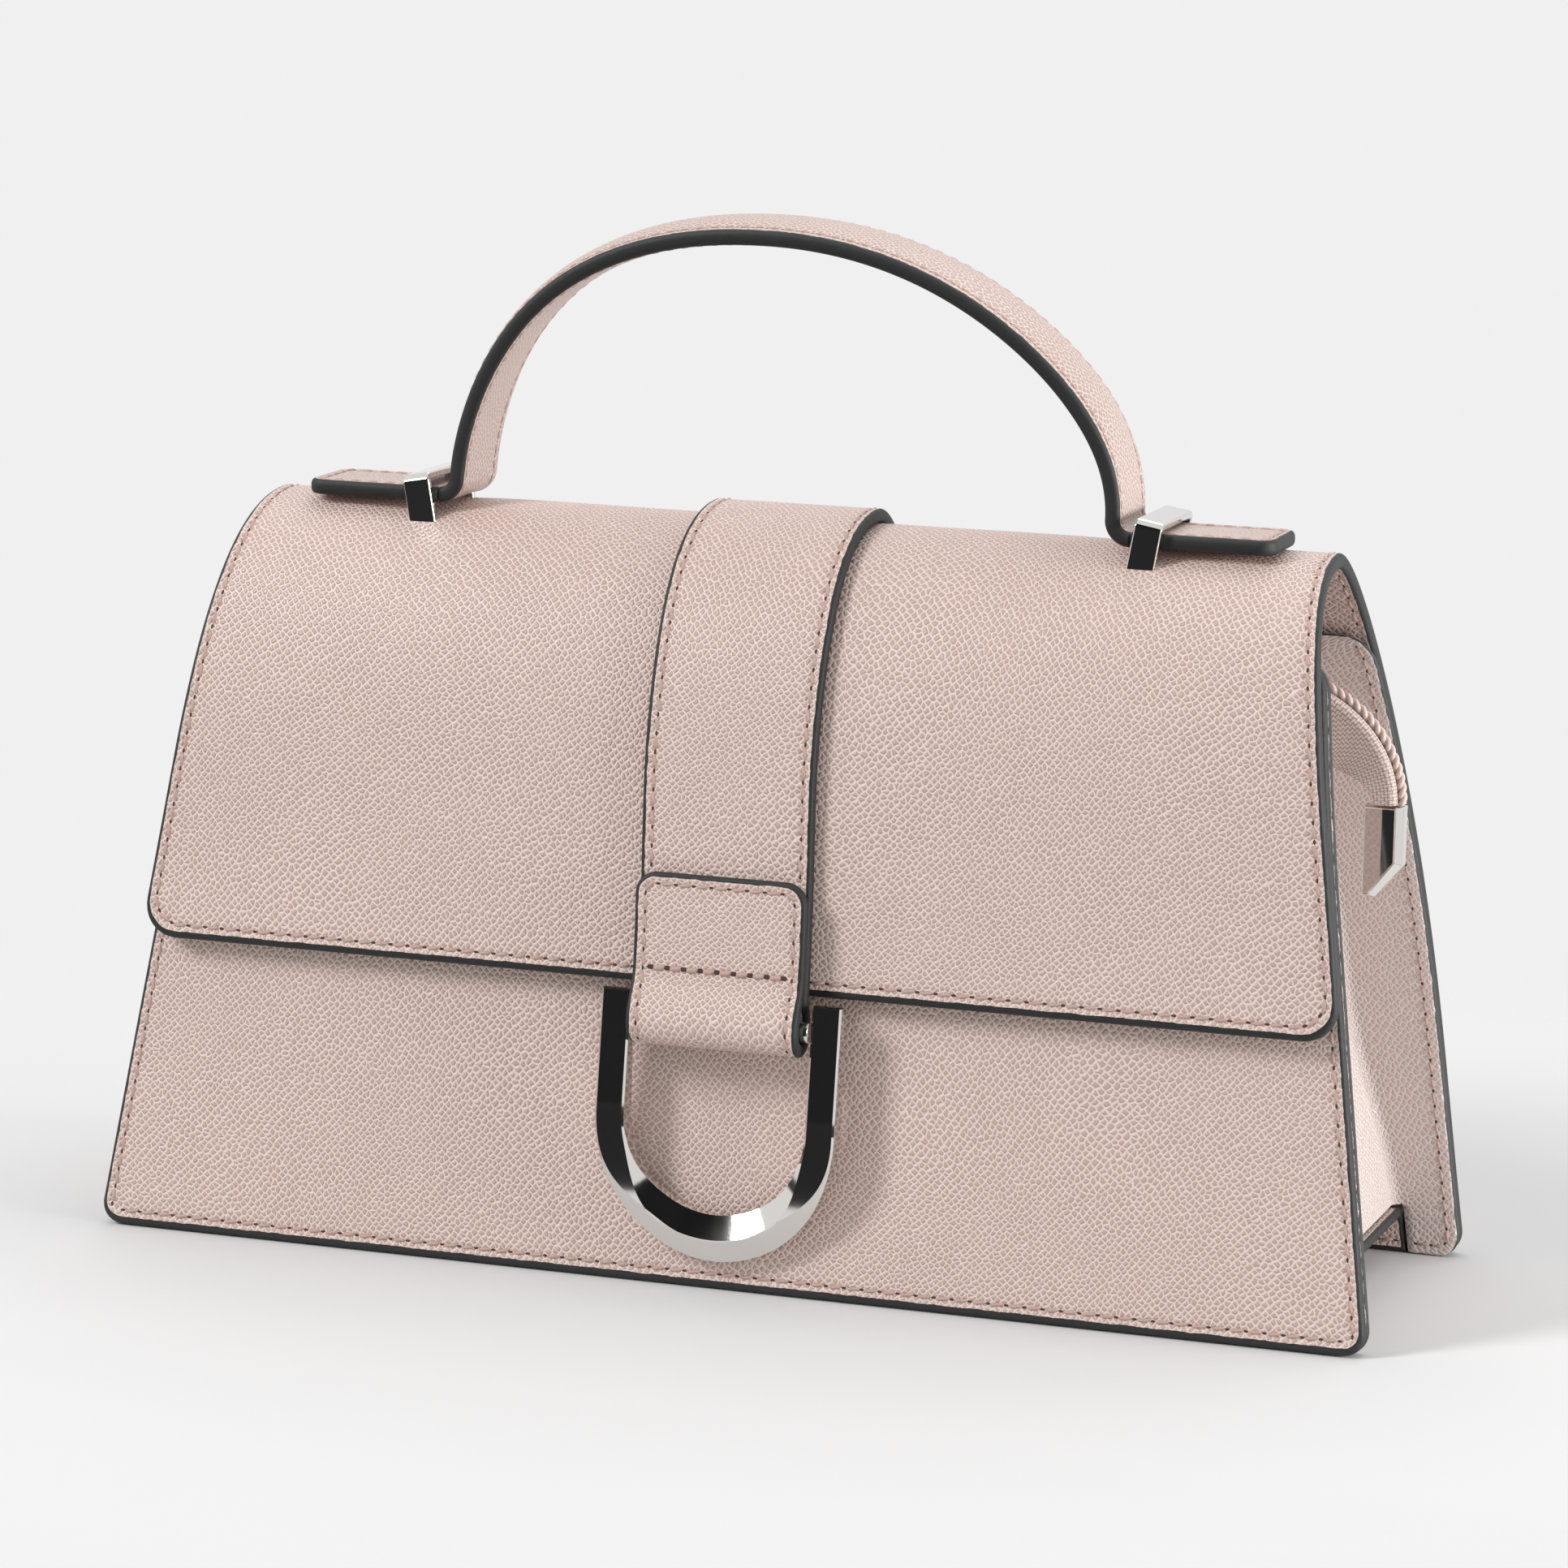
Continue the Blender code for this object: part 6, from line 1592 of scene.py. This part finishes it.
class HANDBAG_OT_keepers(Operator):
    """Metal keepers of the handle, with their plates under the flap"""
    bl_idname = "handbag.keepers"
    bl_label = "Keepers"

    def execute(self, context):
        for side in ("left", "right"):
            add_softened("keeper_" + side, "flap_body", 0.5 * MM, 3)
            add_softened("keeper_plate_" + side, "flap_body", 0.15 * MM)
        return {"FINISHED"}


class HANDBAG_OT_ring(Operator):
    """Horseshoe ring and the bar it swings on"""
    bl_idname = "handbag.ring"
    bl_label = "Ring"

    def execute(self, context):
        ring = add_metal("horseshoe", ring_mesh(), "ring_body", "horseshoe_ring")
        rounded(ring, 0.28 * MM, 3, math.radians(18))
        half = STRAP_HALF + RING_PLAY - GAP
        bar = turned(((BAR_R, -half), (BAR_R, half)), (RING_ASIDE, BAR[0] + SHIFT_Y, BAR[1]), (1, 0, 0), 40)
        rounded(add_metal("bar", bar, "ring_body", "ring_bar"), 0.2 * MM)
        return {"FINISHED"}


class HANDBAG_OT_snap(Operator):
    """Magnetic snap behind the tab"""
    bl_idname = "handbag.snap"
    bl_label = "Snap"

    def execute(self, context):
        for name, body, hollow, foot, profile in SNAP_PIECES:
            mesh = turned(profile, snap_place(foot), (0.0, *FRONT_OUT), hollow=hollow)
            add_metal(name, mesh, body, "snap_" + name)
        return {"FINISHED"}


class HANDBAG_OT_zip(Operator):
    """Zip: both tapes and coils, the closed end and the tail with its cap"""
    bl_idname = "handbag.zip"
    bl_label = "Zip"

    def execute(self, context):
        x = ZIP_HALF_LENGTH
        for name, sign in (("front", -1), ("back", 1)):
            add_tape("tape_" + name, tape_mesh(-x, x, sign), "zip_" + name, "zip_tape_" + name)
            add_coil("coil_" + name, coil_mesh(-x, x, sign), "zip_" + name, "zip_coil_" + name)
        start, stop, end = x + GAP, x + GAP + ZIP_END_LENGTH - TAIL_CLEAR, x + GAP + ZIP_END_LENGTH
        for name, side in (("end", -1), ("tail", 1)):
            last = end if side < 0 else stop
            tapes = [tape_mesh(*sorted((side * start, side * last)), sign) for sign in (-1, 1)]
            coils = [coil_mesh(*sorted((side * start, side * stop)), sign) for sign in (-1, 1)]
            if side > 0:
                tapes += [tail_tape(sign) for sign in (-1, 1)]
                coils.append(tail_crest())
            add_tape("tapes_" + name, joined(tapes), "bag_body", "zip_" + name)
            add_coil("coils_" + name, joined(coils), "bag_body")
        wide, low, high = ZIP_SLOT / 2 + COIL_W, TAPE_TOP, TAPE_TOP + GAP + COIL_H
        corners = ((-wide, low), (wide, low), (wide, high), (-wide, high))
        block = [[(place, ZIP_MIDDLE + SHIFT_Y + y, z) for y, z in corners] for place in (-end, -stop)]
        rounded(add_metal("stop", lofted(block, sharp=math.radians(30)), "bag_body"), 0.3 * MM, 3)
        rounded(add_metal("tail_cap", cap_mesh(), "bag_body", "zip_end_cap"), 0.1 * MM, 2, math.radians(15))
        return {"FINISHED"}


class HANDBAG_OT_slider(Operator):
    """Slider of the zip and its puller"""
    bl_idname = "handbag.slider"
    bl_label = "Slider and puller"

    def execute(self, context):
        add_softened("zip_slider", "slider_body", 0.15 * MM)
        add_softened("zip_puller", "puller_body", 0.2 * MM)
        return {"FINISHED"}


@finish
def floor_finish(g, shader):
    """Pale floor that fades into the backdrop away from the bag."""
    length = g.add("VectorMath", {0: g.place()}, operation="LENGTH")["Value"]
    g.fill(shader, {"Base Color": (*(FLOOR_LEVEL,) * 3, 1.0), "Roughness": 0.9, "Specular IOR Level": 0.1})
    parts = {0: g.ease(length, *FLOOR_FADE), 1: shader.outputs[0], 2: g.add("BsdfTransparent")[0]}
    g.fill(g.tree.nodes["Material Output"], {"Surface": g.add("MixShader", parts)[0]})


def stand(name, data, place, aim):
    """An object of the stage at a place, turned to its aim."""
    thing = shown(name, data)
    thing.location = place
    thing.rotation_euler = (Vector(aim) - Vector(place)).to_track_quat("-Z", "Y").to_euler()
    return thing


def card_mesh(name, size, material):
    """A flat rectangle."""
    w, h = size[0] / 2, size[1] / 2
    mesh = bpy.data.meshes.new(name)
    mesh.from_pydata([(-w, -h, 0), (w, -h, 0), (w, h, 0), (-w, h, 0)], [], [(0, 1, 2, 3)])
    mesh.materials.append(material)
    return mesh


class HANDBAG_OT_stage(Operator):
    """Floor, lamps, backdrop and camera"""
    bl_idname = "handbag.stage"
    bl_label = "Studio"

    def execute(self, context):
        looks = context.scene.handbag_stage
        shown("floor", card_mesh("floor", FLOOR_SIZE, floor_finish("studio floor")))
        for name, place, size in LAMPS:
            lamp = bpy.data.lights.new(name, "AREA")
            lamp.shape = "RECTANGLE"
            lamp.size, lamp.size_y = size
            lamp.energy = getattr(looks, name + "_power")
            stand(name, lamp, place, STAGE_MIDDLE)
        # Dark cards hidden from the camera, from diffuse light and from shadows: only reflections see them,
        # so they paint dark reflections on the metal and leather
        cloth = plain_finish("flag", linear(*REFLECTION_CARD_COLOR), 0.95, 20.0, 0.05, specular=0.0)
        for name, place, aim, size in CARDS:
            card = stand(name, card_mesh(name, size, cloth), place, aim)
            card.visible_camera = card.visible_diffuse = card.visible_shadow = False
        world = bpy.data.worlds.new("studio")
        context.scene.world = world
        world.use_nodes = True
        g = Graph(world.node_tree)
        path = g.add("LightPath")
        seen = g.plus(g.plus(path["Is Camera Ray"], path["Is Glossy Ray"]), path["Is Transmission Ray"])
        light, pale = WORLD_LIGHT, looks.backdrop
        tone = g.mix(g.sum("MINIMUM", seen, 1.0), (light, light, light * 1.01, 1.0), (pale, pale, pale, 1.0))
        g.fill(world.node_tree.nodes["Background"], {"Color": tone, "Strength": 1.0})
        context.scene.view_settings.view_transform = "Standard"
        self.add_camera(context)
        return {"FINISHED"}

    def add_camera(self, context):
        yaw, pitch, roll = map(math.radians, CAMERA_TURN)
        ahead = Vector((-math.sin(yaw) * math.cos(pitch), math.cos(yaw) * math.cos(pitch), -math.sin(pitch)))
        right = Vector((math.cos(yaw), math.sin(yaw), 0.0))
        up = right.cross(ahead)
        level = right * math.cos(roll) + up * math.sin(roll)
        upright = up * math.cos(roll) - right * math.sin(roll)
        data = bpy.data.cameras.new("camera")
        data.sensor_width = 36.0
        data.lens = CAMERA_LENS
        camera = shown("camera", data)
        turn = Matrix((level, upright, -ahead)).transposed().to_4x4()
        camera.matrix_world = Matrix.Translation(CAMERA_PLACE) @ turn
        context.scene.camera = camera


STEPS = (HANDBAG_OT_shell, HANDBAG_OT_front, HANDBAG_OT_gussets, HANDBAG_OT_base, HANDBAG_OT_mouth,
         HANDBAG_OT_strap, HANDBAG_OT_handle, HANDBAG_OT_keepers, HANDBAG_OT_ring, HANDBAG_OT_snap,
         HANDBAG_OT_zip, HANDBAG_OT_slider, HANDBAG_OT_stage)
SETTINGS = (("handbag_leather", HandbagLeather), ("handbag_sizes", HandbagSizes),
            ("handbag_metal", HandbagMetal), ("handbag_stage", HandbagStage))


class HANDBAG_PT_panel(Panel):
    """Settings of the looks, and a button for each step"""
    bl_idname = "HANDBAG_PT_panel"
    bl_label = "Handbag"
    bl_space_type = "VIEW_3D"
    bl_region_type = "UI"
    bl_category = "Handbag"

    def draw(self, context):
        for name, settings in SETTINGS:
            box = self.layout.box()
            for key in settings.__annotations__:
                box.prop(getattr(context.scene, name), key)
        for step in STEPS:
            self.layout.operator(step.bl_idname)


def register():
    for name, settings in SETTINGS:
        bpy.utils.register_class(settings)
        setattr(bpy.types.Scene, name, PointerProperty(type=settings))
    for step in (*STEPS, HANDBAG_PT_panel):
        bpy.utils.register_class(step)


def unregister():
    for step in (HANDBAG_PT_panel, *reversed(STEPS)):
        bpy.utils.unregister_class(step)
    for name, settings in reversed(SETTINGS):
        delattr(bpy.types.Scene, name)
        bpy.utils.unregister_class(settings)


def main():
    register()
    for step in STEPS:
        group, name = step.bl_idname.split(".")
        getattr(getattr(bpy.ops, group), name)()


if __name__ == "__main__":
    main()
